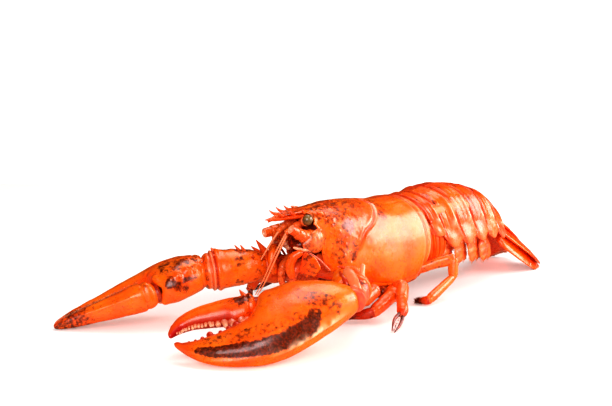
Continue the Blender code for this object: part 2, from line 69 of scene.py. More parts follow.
def table(rows, x):
    """Smooth values at x through the rows (x, value, value...), never overshooting them."""
    rows = np.asarray(rows, float)
    xs, ys = rows[:, 0], rows[:, 1:]
    shape = np.shape(x)
    x = np.clip(np.ravel(np.asarray(x, float)), xs[0], xs[-1])
    step = np.diff(xs)[:, None]
    slope = np.diff(ys, axis=0) / step
    tangent = np.zeros_like(ys)
    tangent[0], tangent[-1] = slope[0], slope[-1]
    same = slope[:-1] * slope[1:] > 0
    total = np.where(same, slope[:-1] + slope[1:], 1.0)
    tangent[1:-1] = np.where(same, 2.0 * slope[:-1] * slope[1:] / total, 0.0)
    i = np.clip(np.searchsorted(xs, x, side="right") - 1, 0, len(xs) - 2)
    t = ((x - xs[i]) / np.diff(xs)[i])[:, None]
    h = step[i]
    out = (
        (2 * t**3 - 3 * t**2 + 1) * ys[i] + (t**3 - 2 * t**2 + t) * h * tangent[i]
        + (3 * t**2 - 2 * t**3) * ys[i + 1] + (t**3 - t**2) * h * tangent[i + 1]
    )
    return out.reshape(shape + (ys.shape[1],))


def route(keys, count):
    """Points evenly spaced along a smooth curve through the keys."""
    keys = np.asarray(keys, float)
    ends = np.vstack([2 * keys[0] - keys[1], keys, 2 * keys[-1] - keys[-2]])
    fine = [keys[0]]
    for i in range(len(keys) - 1):
        p0, p1, p2, p3 = ends[i:i + 4]
        for t in np.linspace(0, 1, 33)[1:]:
            fine.append(0.5 * (
                2 * p1 + (p2 - p0) * t + (2 * p0 - 5 * p1 + 4 * p2 - p3) * t**2
                + (3 * p1 - p0 - 3 * p2 + p3) * t**3
            ))
    fine = np.array(fine)
    run = np.concatenate([[0], np.cumsum(np.linalg.norm(np.diff(fine, axis=0), axis=1))])
    at = np.linspace(0, run[-1], count)
    return np.stack([np.interp(at, run, fine[:, k]) for k in range(3)], axis=1)


def lattice(i, j, k, seed):
    """A fixed random value from -1 to 1 at each whole-number point."""
    n = (i * 73856093) ^ (j * 19349663) ^ (k * 83492791) ^ (seed * 6542989)
    n = (n ^ (n >> 13)) * 12741261
    n = n ^ (n >> 16)
    return (n & 0xFFFF) / 32767.5 - 1.0


def noise(points, size, seed=1):
    """Smooth noise from -1 to 1 with bumps about this size."""
    q = np.asarray(points, float) / size
    base = np.floor(q).astype(np.int64)
    f = q - base
    f = f * f * (3 - 2 * f)
    total = 0.0
    for corner in range(8):
        d = np.array([corner & 1, (corner >> 1) & 1, corner >> 2])
        w = np.prod(np.where(d, f, 1 - f), axis=-1)
        c = base + d
        total = total + w * lattice(c[..., 0], c[..., 1], c[..., 2], seed)
    return total


def bell(x, width):
    """1 at x = 0, falling smoothly to nothing."""
    return np.exp(-(x / width)**2)


def ramp(x, low, high):
    """0 below low, 1 above high, smooth between."""
    t = np.clip((x - low) / (high - low), 0, 1)
    return t * t * (3 - 2 * t)


def fall(x, low, high):
    """1 below low, 0 above high, smooth between."""
    return 1 - ramp(x, low, high)


def stretch(x, a, b, c, d):
    """1 from b to c, with smooth ends out to a and d."""
    return ramp(x, a, b) * fall(x, c, d)


def oval_bell(x, y):
    """A bell in two directions."""
    return bell(np.hypot(x, y), 1.0)


def near_line(points, line):
    """Distance from each point to the nearest part of a line of points."""
    flat = points.reshape(-1, 3)
    best = np.full(len(flat), 1e9)
    for a, b in zip(line[:-1], line[1:]):
        d = b - a
        t = np.clip(((flat - a) @ d) / (d @ d), 0, 1)
        best = np.minimum(best, np.linalg.norm(flat - a - t[:, None] * d, axis=1))
    return best.reshape(points.shape[:-1])


def patch(points, *spots):
    """How strongly soft spots (x, y, z, radius, strength) colour each point; spots of one run are joined."""
    total = np.zeros(points.shape[:-1])
    for run in spots:
        run = np.asarray(run, float).reshape(-1, 5)
        ends = run if len(run) > 1 else np.vstack([run, run])
        for a, b in zip(ends[:-1], ends[1:]):
            d = b[:3] - a[:3]
            t = np.clip(((points - a[:3]) @ d) / max(d @ d, 1e-9), 0, 1)
            near = np.linalg.norm(points - a[:3] - t[..., None] * d, axis=-1)
            radius = a[3] + (b[3] - a[3]) * t
            strength = a[4] + (b[4] - a[4]) * t
            total = np.maximum(total, strength * fall(near / radius, 0.55, 1.3))
    return total


# ---------------------------------------------------------------- surfaces

class Shape:
    """Points, faces and a colour note (dark, red, pale) at each point, gathered for one piece."""

    def __init__(self):
        self.points = []
        self.faces = []
        self.notes = []
        self.count = 0

    def add(self, points, faces, note=(0, 0, 0)):
        """Adds loose points and the faces between them."""
        points = np.asarray(points, float).reshape(-1, 3)
        note = np.asarray(note, float)
        note = np.broadcast_to(note, (len(points), 3)) if note.ndim == 1 else note.reshape(-1, 3)
        self.points.append(points)
        self.notes.append(note)
        self.faces += [tuple(int(i) + self.count for i in face) for face in faces]
        self.count += len(points)
        return self

    def grid(self, grid, note=(0, 0, 0), around=True, poles=True):
        """Adds a grid of rings, closed round each ring and, with poles, over both ends."""
        rows, n = grid.shape[:2]
        index = np.arange(rows * n).reshape(rows, n)
        nxt = np.roll(index, -1, axis=1) if around else index[:, 1:]
        cur = index if around else index[:, :-1]
        quads = np.stack([cur[:-1], nxt[:-1], nxt[1:], cur[1:]], axis=-1).reshape(-1, 4)
        faces = quads.tolist()
        points = grid.reshape(-1, 3)
        note = np.asarray(note, float)
        note = np.broadcast_to(note, grid.shape) if note.ndim == 1 else note
        notes = note.reshape(-1, 3)
        if poles:
            points = np.vstack([points, grid[0].mean(axis=0), grid[-1].mean(axis=0)])
            notes = np.vstack([notes, note[0].mean(axis=0), note[-1].mean(axis=0)])
            a, b = rows * n, rows * n + 1
            for i in range(n):
                j = (i + 1) % n
                faces.append((a, j, i))
                faces.append((b, (rows - 1) * n + i, (rows - 1) * n + j))
        return self.add(points, faces, notes)


def outward(grid, around=True):
    """Unit normals of a ring grid, pointing away from its middle."""
    if around:
        du = np.roll(grid, -1, axis=1) - np.roll(grid, 1, axis=1)
    else:
        du = np.gradient(grid, axis=1)
    normal = unit(np.cross(du, np.gradient(grid, axis=0)))
    if ((grid - grid.mean(axis=1, keepdims=True)) * normal).sum() < 0:
        normal = -normal
    return normal


def raised(grid, lift, around=True):
    """The grid moved out along its normals."""
    return grid + outward(grid, around) * lift[..., None]


def rough(grid, height, size, seed):
    """The grid made uneven by noise."""
    return raised(grid, height * noise(grid, size, seed))


def tones(grid, dark=0.0, red=0.0, pale=0.0):
    """Colour notes for the points of a grid."""
    notes = np.zeros(grid.shape)
    notes[..., 0], notes[..., 1], notes[..., 2] = dark, red, pale
    return notes


def shares(grid):
    """How far along its rings each ring of a grid is, from 0 to 1."""
    return np.linspace(0, 1, len(grid))[:, None]


def oval(around, square=2.0):
    """Cosine and sine round a ring, squared off above 2."""
    angle = np.linspace(0, 2 * math.pi, around, endpoint=False)
    c, s = np.cos(angle), np.sin(angle)
    power = 2.0 / square
    return np.sign(c) * np.abs(c)**power, np.sign(s) * np.abs(s)**power


def tube(keys, sizes, ref=(0, 0, 1), count=24, around=20, square=2.0, ends=(0.6, 0.6)):
    """Ring grid of a limb segment, height along ref.

    Sizes are (share of length, half width, half height), without the height where it is the same.
    """
    centre = route(keys, count)
    sizes = [(*row, row[-1])[:3] for row in sizes]
    size = table(sizes, np.linspace(0, 1, count))
    tangent = unit(np.gradient(centre, axis=0))
    side = unit(np.cross(tangent, np.asarray(ref, float)))
    up = np.cross(side, tangent)
    c, s = oval(around, square)

    def ring(k, shrink=1.0, ahead=0.0):
        w, h = size[k][:2] * shrink
        return centre[k] + tangent[k] * ahead + np.outer(c * w, side[k]) + np.outer(s * h, up[k])

    rings = []
    turns = np.radians((82, 66, 48, 28))
    if ends[0]:
        reach = ends[0] * min(size[0][:2])
        rings += [ring(0, math.cos(a), -reach * math.sin(a)) for a in turns]
    rings += [ring(k) for k in range(count)]
    if ends[1]:
        reach = ends[1] * min(size[-1][:2])
        rings += [ring(count - 1, math.cos(a), reach * math.sin(a)) for a in turns[::-1]]
    return np.array(rings)


def claw_frame(wrist, tip, across):
    """Origin, length, width and thickness directions of a claw."""
    axis = unit(np.subtract(tip, wrist))
    across = np.asarray(across, float)
    across = unit(across - axis * across.dot(axis))
    normal = np.cross(across, axis)
    if normal[2] < 0:
        normal = -normal
    return np.asarray(wrist, float), axis, across, normal


def slab(local, rows, count=120, around=72, square=2.2):
    """Ring grid of a flat claw piece, and the along, wide, cosine, sine and degrees round of its points.

    Rows are (along, low side, high side, half thickness above, and below).
    """
    rows = np.asarray(rows, float)
    share = 0.5 - 0.5 * np.cos(np.linspace(0, math.pi, count))
    at = rows[0, 0] + (rows[-1, 0] - rows[0, 0]) * (0.45 * share + 0.55 * np.linspace(0, 1, count))
    values = table(rows, at)
    c, s = oval(around, square)
    low, high, above, below = (values[:, k][:, None] for k in range(4))
    wide = (low + high) / 2 + c * (high - low) / 2
    thick = s * np.where(s > 0, above, below)
    along = np.broadcast_to(at[:, None], wide.shape)
    return in_claw(local, along, wide, thick), (along, wide, c, s, np.degrees(np.arctan2(s, c)))


def in_claw(local, along, wide, thick):
    """The point at these millimetres along, across and through a claw."""
    origin, axis, across, normal = local
    return (
        origin + np.multiply.outer(along, axis) + np.multiply.outer(wide, across)
        + np.multiply.outer(thick, normal)
    )


def bumps(points, centres, radii, heights):
    """Sum of soft bumps at the centres."""
    flat = points.reshape(-1, 3)
    total = np.zeros(len(flat))
    for c, r, h in zip(centres, radii, heights):
        close = np.abs(flat - c).max(axis=1) < 3 * r
        d2 = ((flat[close] - c)**2).sum(axis=1)
        total[close] += h * np.exp(-d2 / (r * r))
    return total.reshape(points.shape[:-1])


def cone(shape, base, tip, radius, note=(0, 0.1, 0), tip_note=(0, 0.6, 0.2), bend=(0, 0, 0), around=10,
         rings=7, blunt=0.12):
    """A curved spine or tooth standing on base."""
    base, tip, note = (np.asarray(v, float) for v in (base, tip, note))
    middle = (base + tip) / 2 + bend
    keys = (base - (middle - base) * 0.25, base, middle, tip)
    sizes = ((0, radius), (0.25, radius * 0.92), (0.6, radius * 0.6), (1, radius * blunt))
    ref = (0, 0, 1) if abs(unit(tip - base)[2]) < 0.9 else (1, 0, 0)
    grid = tube(keys, sizes, ref=ref, count=rings, around=around, ends=(0, 0.9))
    shape.grid(grid, note + (tip_note - note) * np.broadcast_to(shares(grid)[..., None], grid.shape))


def hairs(shape, bases, directions, lengths, radius, note, seed=3):
    """Three-sided bristles."""
    rng = np.random.default_rng(seed)
    bases = np.asarray(bases, float)
    directions = unit(np.asarray(directions, float))
    n = len(bases)
    wobble = rng.normal(0, 0.16, (n, 3))
    directions = unit(directions + wobble)
    ref = np.where(np.abs(directions[:, 2:]) < 0.9, (0, 0, 1), (1, 0, 0)).astype(float)
    side = unit(np.cross(directions, ref))
    up = np.cross(side, directions)
    lengths = np.broadcast_to(lengths, n) * rng.uniform(0.7, 1.1, n)
    points, faces = [], []
    for i in range(n):
        k = len(points)
        for a in (0.0, 2.1, 4.2):
            points.append(bases[i] + (side[i] * math.cos(a) + up[i] * math.sin(a)) * radius)
        points.append(bases[i] + directions[i] * lengths[i])
        faces += [(k, k + 1, k + 3), (k + 1, k + 2, k + 3), (k + 2, k, k + 3), (k + 2, k + 1, k)]
    shape.add(points, faces, note)


def piece(name, shape, material, slot, *nodes, thickness=0.0):
    """Makes one visible piece from a gathered shape, standing for the named frame nodes."""
    mesh = bpy.data.meshes.new(name)
    points = np.vstack(shape.points)
    mesh.from_pydata(place(points).tolist(), [], shape.faces)
    tone = mesh.attributes.new("tone", "FLOAT_VECTOR", "POINT")
    notes = np.clip(np.vstack(shape.notes), 0, 1)
    tone.data.foreach_set("vector", notes.astype(np.float32).ravel())
    mesh.validate()
    mesh.polygons.foreach_set("use_smooth", [True] * len(mesh.polygons))
    obj = bpy.data.objects.new(name, mesh)
    bpy.context.scene.collection.objects.link(obj)
    mesh.materials.append(material)
    if thickness:
        solid = obj.modifiers.new("thickness", "SOLIDIFY")
        solid.thickness = thickness * MM
        solid.offset = -1.0
    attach(obj, "root")
    if nodes:
        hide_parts(*nodes)


# ---------------------------------------------------------------- materials

def nodes_of(name, roughness, coat=0.0, specular=0.5, subsurface=0.0):
    """A new material, its node tree and its shader."""
    material = bpy.data.materials.new(name)
    material.use_nodes = True
    tree = material.node_tree
    shader = tree.nodes["Principled BSDF"]
    shader.inputs["Roughness"].default_value = roughness
    shader.inputs["Specular IOR Level"].default_value = specular
    shader.inputs["Coat Weight"].default_value = coat
    shader.inputs["Coat Roughness"].default_value = 0.23
    if subsurface:
        shader.inputs["Subsurface Weight"].default_value = subsurface
        shader.inputs["Subsurface Radius"].default_value = (1.0, 0.35, 0.1)
        shader.inputs["Subsurface Scale"].default_value = 0.003
    return material, tree, shader


def tone_of(tree):
    """Where the surface is, and the dark, red and pale notes there."""
    tone = tree.nodes.new("ShaderNodeAttribute")
    tone.attribute_name = "tone"
    split = tree.nodes.new("ShaderNodeSeparateXYZ")
    tree.links.new(tone.outputs["Vector"], split.inputs[0])
    return (tree.nodes.new("ShaderNodeTexCoord").outputs["Object"], *split.outputs)


def emboss(tree, shader, height, strength, distance=0.0006):
    """Bumps the surface by a height."""
    bump = tree.nodes.new("ShaderNodeBump")
    bump.inputs["Strength"].default_value = strength
    bump.inputs["Distance"].default_value = distance
    tree.links.new(height, bump.inputs["Height"])
    tree.links.new(bump.outputs["Normal"], shader.inputs["Normal"])


def add_noise(tree, coordinate, size_mm, detail=3.0, roughness=0.55, shift=0.0):
    """Noise with features of this size."""
    n = tree.nodes.new("ShaderNodeTexNoise")
    n.inputs["Scale"].default_value = 1000.0 / size_mm
    n.inputs["Detail"].default_value = detail
    n.inputs["Roughness"].default_value = roughness
    move = tree.nodes.new("ShaderNodeVectorMath")
    move.operation = "ADD"
    move.inputs[1].default_value = (shift, shift * 0.7, shift * 1.3)
    tree.links.new(coordinate, move.inputs[0])
    tree.links.new(move.outputs[0], n.inputs["Vector"])
    return n.outputs["Fac"]


def spread(tree, value, low, high, to_low=0.0, to_high=1.0):
    """The value stretched smoothly from one range to another."""
    m = tree.nodes.new("ShaderNodeMapRange")
    m.interpolation_type = "SMOOTHSTEP"
    m.inputs["From Min"].default_value = low
    m.inputs["From Max"].default_value = high
    m.inputs["To Min"].default_value = to_low
    m.inputs["To Max"].default_value = to_high
    tree.links.new(value, m.inputs["Value"])
    return m.outputs["Result"]


def math_node(tree, kind, a, b):
    """Two values or numbers added or multiplied."""
    m = tree.nodes.new("ShaderNodeMath")
    m.operation = kind
    for socket, v in zip(m.inputs, (a, b)):
        if isinstance(v, float):
            socket.default_value = v
        else:
            tree.links.new(v, socket)
    m.use_clamp = kind == "ADD"
    return m.outputs[0]


def mixed(tree, share, a, b):
    """Colour a turning to colour b by share."""
    m = tree.nodes.new("ShaderNodeMix")
    m.data_type = "RGBA"
    for socket, v in ((m.inputs["Factor"], share), (m.inputs[6], a), (m.inputs[7], b)):
        if isinstance(v, tuple):
            socket.default_value = (*v, 1.0)
        else:
            tree.links.new(v, socket)
    return m.outputs[2]


ORANGE = (0.95, 0.150, 0.003)
RED_ORANGE = (0.86, 0.088, 0.005)
DEEP_RED = (0.50, 0.010, 0.004)
DARK = (0.055, 0.009, 0.001)
CREAM = (0.95, 0.68, 0.46)
FRECKLE = (0.32, 0.040, 0.003)
MOTTLE_AND_SHADE_BROWN = (0.24, 0.026, 0.002)
SKIN_DARK_AND_PAINTED_SHADE = (0.10, 0.02, 0.008)


def shell_look(name, base=ORANGE, second=RED_ORANGE, dark=DARK, speckle=0.5, roughness=0.30, pits=0.10,
               grain=1.0):
    """Cooked shell: two oranges in soft patches, fine dark freckles, dark mottling and painted shade, red
    edges, pale skin and painted highlights.
    """
    material, tree, shader = nodes_of(name, roughness, coat=0.5, specular=0.85, subsurface=0.10)
    where, dark_note, red_note, pale_note = tone_of(tree)

    colour = mixed(tree, spread(tree, add_noise(tree, where, 22, 4), 0.38, 0.66), base, second)
    fine = add_noise(tree, where, 3.2, 5, 0.65, 3.0)
    colour = mixed(tree, spread(tree, fine, 0.50, 0.78, 0.0, 0.55), colour, second)
    reddened = spread(tree, add_noise(tree, where, 6.0, 4, 0.6, 9.0), 0.56, 0.80, 0.0, 0.18)
    colour = mixed(tree, math_node(tree, "ADD", red_note, reddened), colour, DEEP_RED)

    freckle = spread(tree, add_noise(tree, where, 1.7 * grain, 2, 0.5, 5.0), 0.575, 0.68, 0.0, speckle)
    zone = spread(tree, add_noise(tree, where, 13.0, 2, 0.5, 1.0), 0.42, 0.60)
    colour = mixed(tree, math_node(tree, "MULTIPLY", freckle, zone), colour, FRECKLE)

    # The noted amount decides how much of a fine cloud turns dark; the dark notes hold both mottling and
    # painted shade in gaps and under edges.
    cloud = add_noise(tree, where, 3.2 * grain, 5, 0.66, 7.0)
    noted = math_node(tree, "ADD", math_node(tree, "MULTIPLY", dark_note, 0.62), cloud)
    gate = spread(tree, noted, 0.71, 1.00, 0.0, 0.93)
    keep = spread(tree, dark_note, 0.02, 0.25)
    mottle_and_shade_colour = mixed(tree, spread(tree, add_noise(tree, where, 1.3, 4, 0.6, 8.0), 0.40, 0.66), dark, MOTTLE_AND_SHADE_BROWN)
    colour = mixed(tree, math_node(tree, "MULTIPLY", gate, keep), colour, mottle_and_shade_colour)
    tree.links.new(mixed(tree, pale_note, colour, CREAM), shader.inputs["Base Color"])

    uneven = add_noise(tree, where, 4.0, 4, 0.6, 2.0)
    tree.links.new(spread(tree, uneven, 0.3, 0.75, roughness - 0.07, roughness + 0.12),
                   shader.inputs["Roughness"])

    dimple = spread(tree, add_noise(tree, where, 0.9, 2, 0.5, 4.0), 0.30, 0.42)
    swell = add_noise(tree, where, 3.5, 3, 0.5, 6.0)
    height = math_node(tree, "ADD", math_node(tree, "MULTIPLY", dimple, 0.5),
                       math_node(tree, "MULTIPLY", swell, 0.6))
    emboss(tree, shader, height, pits)
    return material


def skin_look(name, base, second, roughness=0.45):
    """Soft skin between plates and on the belly limbs."""
    material, tree, shader = nodes_of(name, roughness, coat=0.5, specular=0.8, subsurface=0.2)
    where, dark_note, red_note, pale_note = tone_of(tree)
    colour = mixed(tree, spread(tree, add_noise(tree, where, 5, 4), 0.35, 0.68), base, second)
    # The dark note turns toward a dark brown: dark joints, and painted shade on the flesh seen between the
    # legs.
    for note, turned in ((red_note, DEEP_RED), (dark_note, SKIN_DARK_AND_PAINTED_SHADE), (pale_note, CREAM)):
        colour = mixed(tree, note, colour, turned)
    tree.links.new(colour, shader.inputs["Base Color"])
    emboss(tree, shader, add_noise(tree, where, 1.6, 4, 0.6, 2.0), 0.35)
    return material


def eye_look():
    """Dark glossy eye with a faint honeycomb."""
    material, tree, shader = nodes_of("eye_gloss", 0.10, coat=0.8)
    where = tree.nodes.new("ShaderNodeTexCoord").outputs["Object"]
    facets = tree.nodes.new("ShaderNodeTexVoronoi")
    facets.inputs["Scale"].default_value = 4000.0
    tree.links.new(where, facets.inputs["Vector"])
    colour = mixed(tree, spread(tree, add_noise(tree, where, 2.5, 3), 0.35, 0.7), (0.20, 0.12, 0.045),
                   (0.42, 0.27, 0.12))
    colour = mixed(tree, spread(tree, facets.outputs["Distance"], 0.2, 0.6, 0.0, 0.4), colour,
                   (0.02, 0.012, 0.008))
    tree.links.new(colour, shader.inputs["Base Color"])
    emboss(tree, shader, facets.outputs["Distance"], 0.05, 0.0002)
    return material


BODY = shell_look("body_shell_look", (0.95, 0.190, 0.002), (0.90, 0.115, 0.002), (0.17, 0.028, 0.002),
                  speckle=0.95, pits=0.26, grain=0.7)
TAIL = shell_look("tail_shell_look", speckle=0.5, roughness=0.27, pits=0.18)
CLAW = shell_look("claw_shell_look", (0.95, 0.20, 0.001), (0.92, 0.13, 0.002), speckle=0.6, roughness=0.31,
                  pits=0.12, grain=0.85)
LIMB = shell_look("limb_shell_look", (0.95, 0.20, 0.002), (0.90, 0.12, 0.002), speckle=0.7, roughness=0.30,
                  pits=0.25, grain=0.6)
BELLY = skin_look("belly_skin_look", (0.94, 0.20, 0.004), (0.90, 0.11, 0.003))
JOINT = skin_look("joint_skin_look", (0.88, 0.16, 0.02), (0.62, 0.05, 0.008), 0.35)
EYE = eye_look()

# ---------------------------------------------------------------- body numbers

BACK_LINE = (
    (-108, 62.0), (-104, 62.9), (-97, 64.0), (-91, 65.2), (-84, 66.4), (-74, 66.9), (-65, 67.4), (-57, 67.8),
    (-44, 67.2), (-30, 65.9), (-17.5, 64.3), (-8, 64.8), (1, 64.2), (12, 64.4), (23.5, 66.6), (35, 67.8),
    (45, 67.4), (57, 65.4), (63, 64.0), (75.3, 58.7), (85.6, 50.1), (92, 42.0),
)
SHELL_PLAN = (
    (-108, 14.5, 41.0), (-81, 16.0, 38.5), (-78.5, 17.4, 34.5), (-76, 18.8, 31.0), (-70, 21.2, 26.0),
    (-60, 24.0, 20.5),
    (-48, 26.2, 16.2), (-34, 27.6, 12.8), (-18, 28.2, 11.5), (-6, 27.8, 13.0), (1, 26.6, 16.0),
)
SHELL_REAR = 1.0
SHELL_EDGE = 0.70  # share of the way round at the lower edge
SHELL_SIDE_BULGE = 7.0
SHELL_SECTION = (
    (0.0, 0.0, 1.0), (0.10, 0.34, 0.975), (0.20, 0.64, 0.885), (0.30, 0.84, 0.73), (0.40, 0.945, 0.52),
    (0.50, 1.0, 0.30), (0.60, 0.965, 0.13), (0.70, 0.87, 0.0),
)
# The shell's front edge: share of the way round from the middle of the back, and y.
SHELL_FRONT = (
    (0.0, -107.6), (0.02, -103.5), (0.05, -98.5), (0.09, -92.5), (0.13, -86.8), (0.16, -83.9), (0.19, -82.4),
    (0.235, -81.6), (0.275, -82.0), (0.31, -83.0), (0.335, -81.6), (0.38, -80.6), (0.46, -80.6),
    (0.55, -79.5),
    (0.64, -78.0), (0.70, -75.5),
)
GROOVE = (
    (0, -34.6, 66.4), (5, -33.6, 65.7), (9, -33.3, 64.9), (12.8, -32.9, 63.0), (17.8, -35.7, 59.7),
    (21.0, -39.3, 56.2), (22.8, -44.5, 52.8), (23.5, -48.6, 50.4), (24.5, -52.1, 46.0), (24.7, -54.4, 42.0),
    (24.3, -57.8, 39.0), (23.7, -60.5, 34.6),
)


SIDES = (("left", 1), ("right", -1))


def mirrored(keys, side=-1):
    """The same points on the right side."""
    return np.asarray(keys, float) * (side, 1, 1)


def carapace():
    """Back shell: one open plate with its grooves, rims and low grains."""
    rows, n = 175, 241
    u = np.linspace(-1, 1, n)
    share = np.abs(u) * SHELL_EDGE
    side = np.sign(u)
    front = table(SHELL_FRONT, share)[:, 0]
    profile = table(SHELL_SECTION, share)
    s = np.linspace(0, 1, rows)[:, None]
    y0 = front + (SHELL_REAR - front) * s
    plan = table(SHELL_PLAN, y0)
    top = table(BACK_LINE, y0)[..., 0]
    width, low = plan[..., 0], plan[..., 1]
    back = np.clip((y0 + 45.0) / (SHELL_REAR + 45.0), 0, 1)
    bulge = SHELL_SIDE_BULGE * back**2 * np.sin(math.pi * np.clip((1 - profile[:, 1]) * 1.05, 0, 1))
    x = side * width * profile[:, 0]
    z = low + (top - low) * profile[:, 1]
    grid = np.stack([x, y0 + bulge, z], axis=-1)

    # Cervical groove on both sides, with soft lips.
    line = route(GROOVE, 60)
    away = np.minimum(near_line(grid, line), near_line(grid, mirrored(line)))
    fade = 0.55 + 0.45 * ramp(grid[..., 2], 36, 46)
    lift = -1.15 * bell(away, 0.9) * fade + 0.22 * bell(away - 2.4, 1.2) * fade
    # Band along the rear edge.
    rear = SHELL_REAR - y0
    lift += -0.45 * bell(rear - 3.4, 0.5) + 0.20 * bell(rear - 1.4, 1.2)
    # Rim along the lower edge.
    under = (SHELL_EDGE - share) * 160.0
    lift += (-0.30 * bell(under - 8.0, 1.2) + 0.20 * bell(under - 4.5, 2.0)) * ramp(y0, -84, -70)
    # Rim of the front edge and the eye socket.
    ahead = y0 - front
    rim = 0.30 * bell(ahead - 0.8, 1.0) * ramp(share, 0.12, 0.18)
    lift += rim - 0.28 * bell(ahead - 2.6, 0.9) * ramp(share, 0.15, 0.2)
    # Snout: raised edges and a shallow channel.
    snout = fall(y0, -86, -74) * fall(share, 0.16, 0.2)
    edge_share = np.interp(y0, [-107.6, -103.5, -98.5, -92.5, -86.8, -82.6],
                           [0.004, 0.02, 0.05, 0.09, 0.13, 0.16])
    edge_x = np.abs(x) / np.maximum(np.abs(0.001 + width * table(SHELL_SECTION, edge_share)[..., 0]), 0.5)
    lift += snout * (0.55 * bell(edge_x - 0.8, 0.25) - 0.7 * bell(edge_x, 0.35))
    # Line down the middle of the back, and the two faint branchial lines behind the groove.
    lift += -0.22 * bell(x, 0.45) * ramp(y0, -80, -72) * (0.5 + 0.5 * ramp(y0, -40, -30))
    beside = np.abs(x) - (9.5 + 2.0 * np.sin((y0 + 30) / 12))
    lift += -0.28 * bell(beside, 1.0) * stretch(y0, -34, -28, -8, -2)
    # Swellings: stomach, liver and gill chambers.
    stomach = 0.7 * oval_bell((np.abs(x) - 19) / 6, (y0 + 66) / 9)
    lift += stomach - 0.35 * oval_bell((np.abs(x) - 17) / 4, (y0 + 50) / 10)
    lift += 0.45 * noise(grid, 14, 4) + 0.22 * noise(grid, 5.5, 5) * ramp(-y0, 20, 60)
    lift += 0.07 * noise(grid, 2.2, 6) * ramp(-y0, 10, 50)
    # Low grains on the front of the shell.
    rng = np.random.default_rng(11)
    grains = 520
    rr = rng.integers(2, rows - 6, grains)
    cc = rng.integers(4, n - 4, grains)
    centres = grid[rr, cc]
    rough_zone = ramp(-centres[:, 1], 38, 70)
    keep = rng.random(grains) < 0.25 + 0.75 * rough_zone
    lift += bumps(grid, centres[keep], rng.uniform(0.55, 0.95, grains)[keep],
                  (0.10 + 0.16 * rough_zone)[keep])
    grid = raised(grid, lift, around=False)

    notes = np.zeros(grid.shape)
    # Freckled brown along the back of the head, paler orange low on the sides.
    folded = np.stack([np.abs(grid[..., 0]), grid[..., 1], grid[..., 2]], axis=-1)
    notes[..., 0] = patch(
        folded,
        ((9, -76, 65.5, 9, 0.58), (8, -60, 67, 10, 0.54), (10, -45, 66, 8, 0.46)),
        (20.2, -60.5, 55.5, 6.0, 0.74),
        ((21.5, -66, 48, 7, 0.50), (21.6, -69, 38, 7, 0.52)),
        ((23, -57, 45, 3.5, 0.56), (23.5, -60, 37, 3.5, 0.60)),
        ((9, -29, 64.5, 6, 0.50), (14, -24, 62, 6, 0.42)), (18.5, -31, 57.5, 5.0, 0.60),
        (6, -93, 65, 7, 0.50),
        ((17, -72, 60, 6, 0.58), (15, -64, 63, 6, 0.54), (19, -52, 58, 6, 0.46)),
        ((24, -14, 40, 6, 0.16), (25, -24, 34, 6, 0.12)),
    )
    notes[..., 0] = np.maximum(notes[..., 0],
                               bell(away, 0.75) * (0.35 + 0.65 * ramp(noise(grid, 5, 19), -0.3, 0.3)))
    # Painted shade along the lower edge from the middle backwards, where the shell overhangs the legs.
    notes[..., 0] = np.maximum(notes[..., 0], 0.62 * bell(under - 1.5, 3.0) * ramp(y0, -64, -50))
    notes[..., 1] = 0.25 * snout + 0.35 * bell(away, 1.4) + 0.35 * bell(rear - 3.6, 0.8)
    lips = 0.60 * bell(away - 1.4, 0.5) * ramp(noise(grid, 7, 9), 0.1, 0.4)
    # The two pale lines along the rear rim are painted highlights.
    notes[..., 2] = lips + 0.40 * bell(rear - 0.8, 0.5)
    notes[..., 2] = np.maximum(notes[..., 2], 0.25 * bell(rear - 5.2, 0.4))
    shape = Shape().grid(grid, notes, around=False, poles=False)
    piece("carapace_shell", shape, BODY, "body_shell", "carapace", thickness=1.0)


def carapace_spines():
    """Keel and spines of the snout, and the small spines beside the eyes."""
    extra = Shape()
    keel = tube([(0, -78, 63.0), (0, -88, 62.6), (0, -98, 62.3), (0, -107.0, 62.2)],
                ((0, 8.6, 2.6), (0.3, 6.6, 2.2), (0.65, 3.6, 1.7), (0.9, 1.5, 1.1), (1, 0.6, 0.6)), count=40,
                around=28,
                ends=(0.4, 0.9))
    extra.grid(keel, (0.0, 0.35, 0.0))
    for y, px, reach, high in ((-84.0, 6.9, 3.8, 67.4), (-91.5, 4.9, 4.4, 67.8), (-98.5, 2.9, 4.4, 67.0)):
        for sd in (-1, 1):
            cone(extra, (sd * (px - 1.0), y + 1.2, 63.9), (sd * (px + 1.3), y - reach, high), 1.35,
                 (0, 0.15, 0), (0, 0.75, 0.1), bend=(sd * 0.3, -0.3, -0.5))
    cone(extra, (0, -102.0, 62.3), (0, -109.6, 62.6), 1.5, (0, 0.2, 0), (0, 0.8, 0.1))
    for sd in (-1, 1):
        for base, tip, radius in (
            ((11.6, -74.5, 63.4), (11.2, -79.6, 65.6), 1.5), ((15.2, -79.6, 54.6), (15.0, -85.4, 54.2), 1.5),
            ((16.4, -78.6, 48.4), (16.6, -82.6, 47.6), 1.1), ((16.8, -76.0, 61.0), (16.6, -77.6, 62.2), 0.9),
        ):
            cone(extra, mirrored(base, sd), mirrored(tip, sd), radius)
    piece("carapace_spines", extra, BODY, "body_shell")


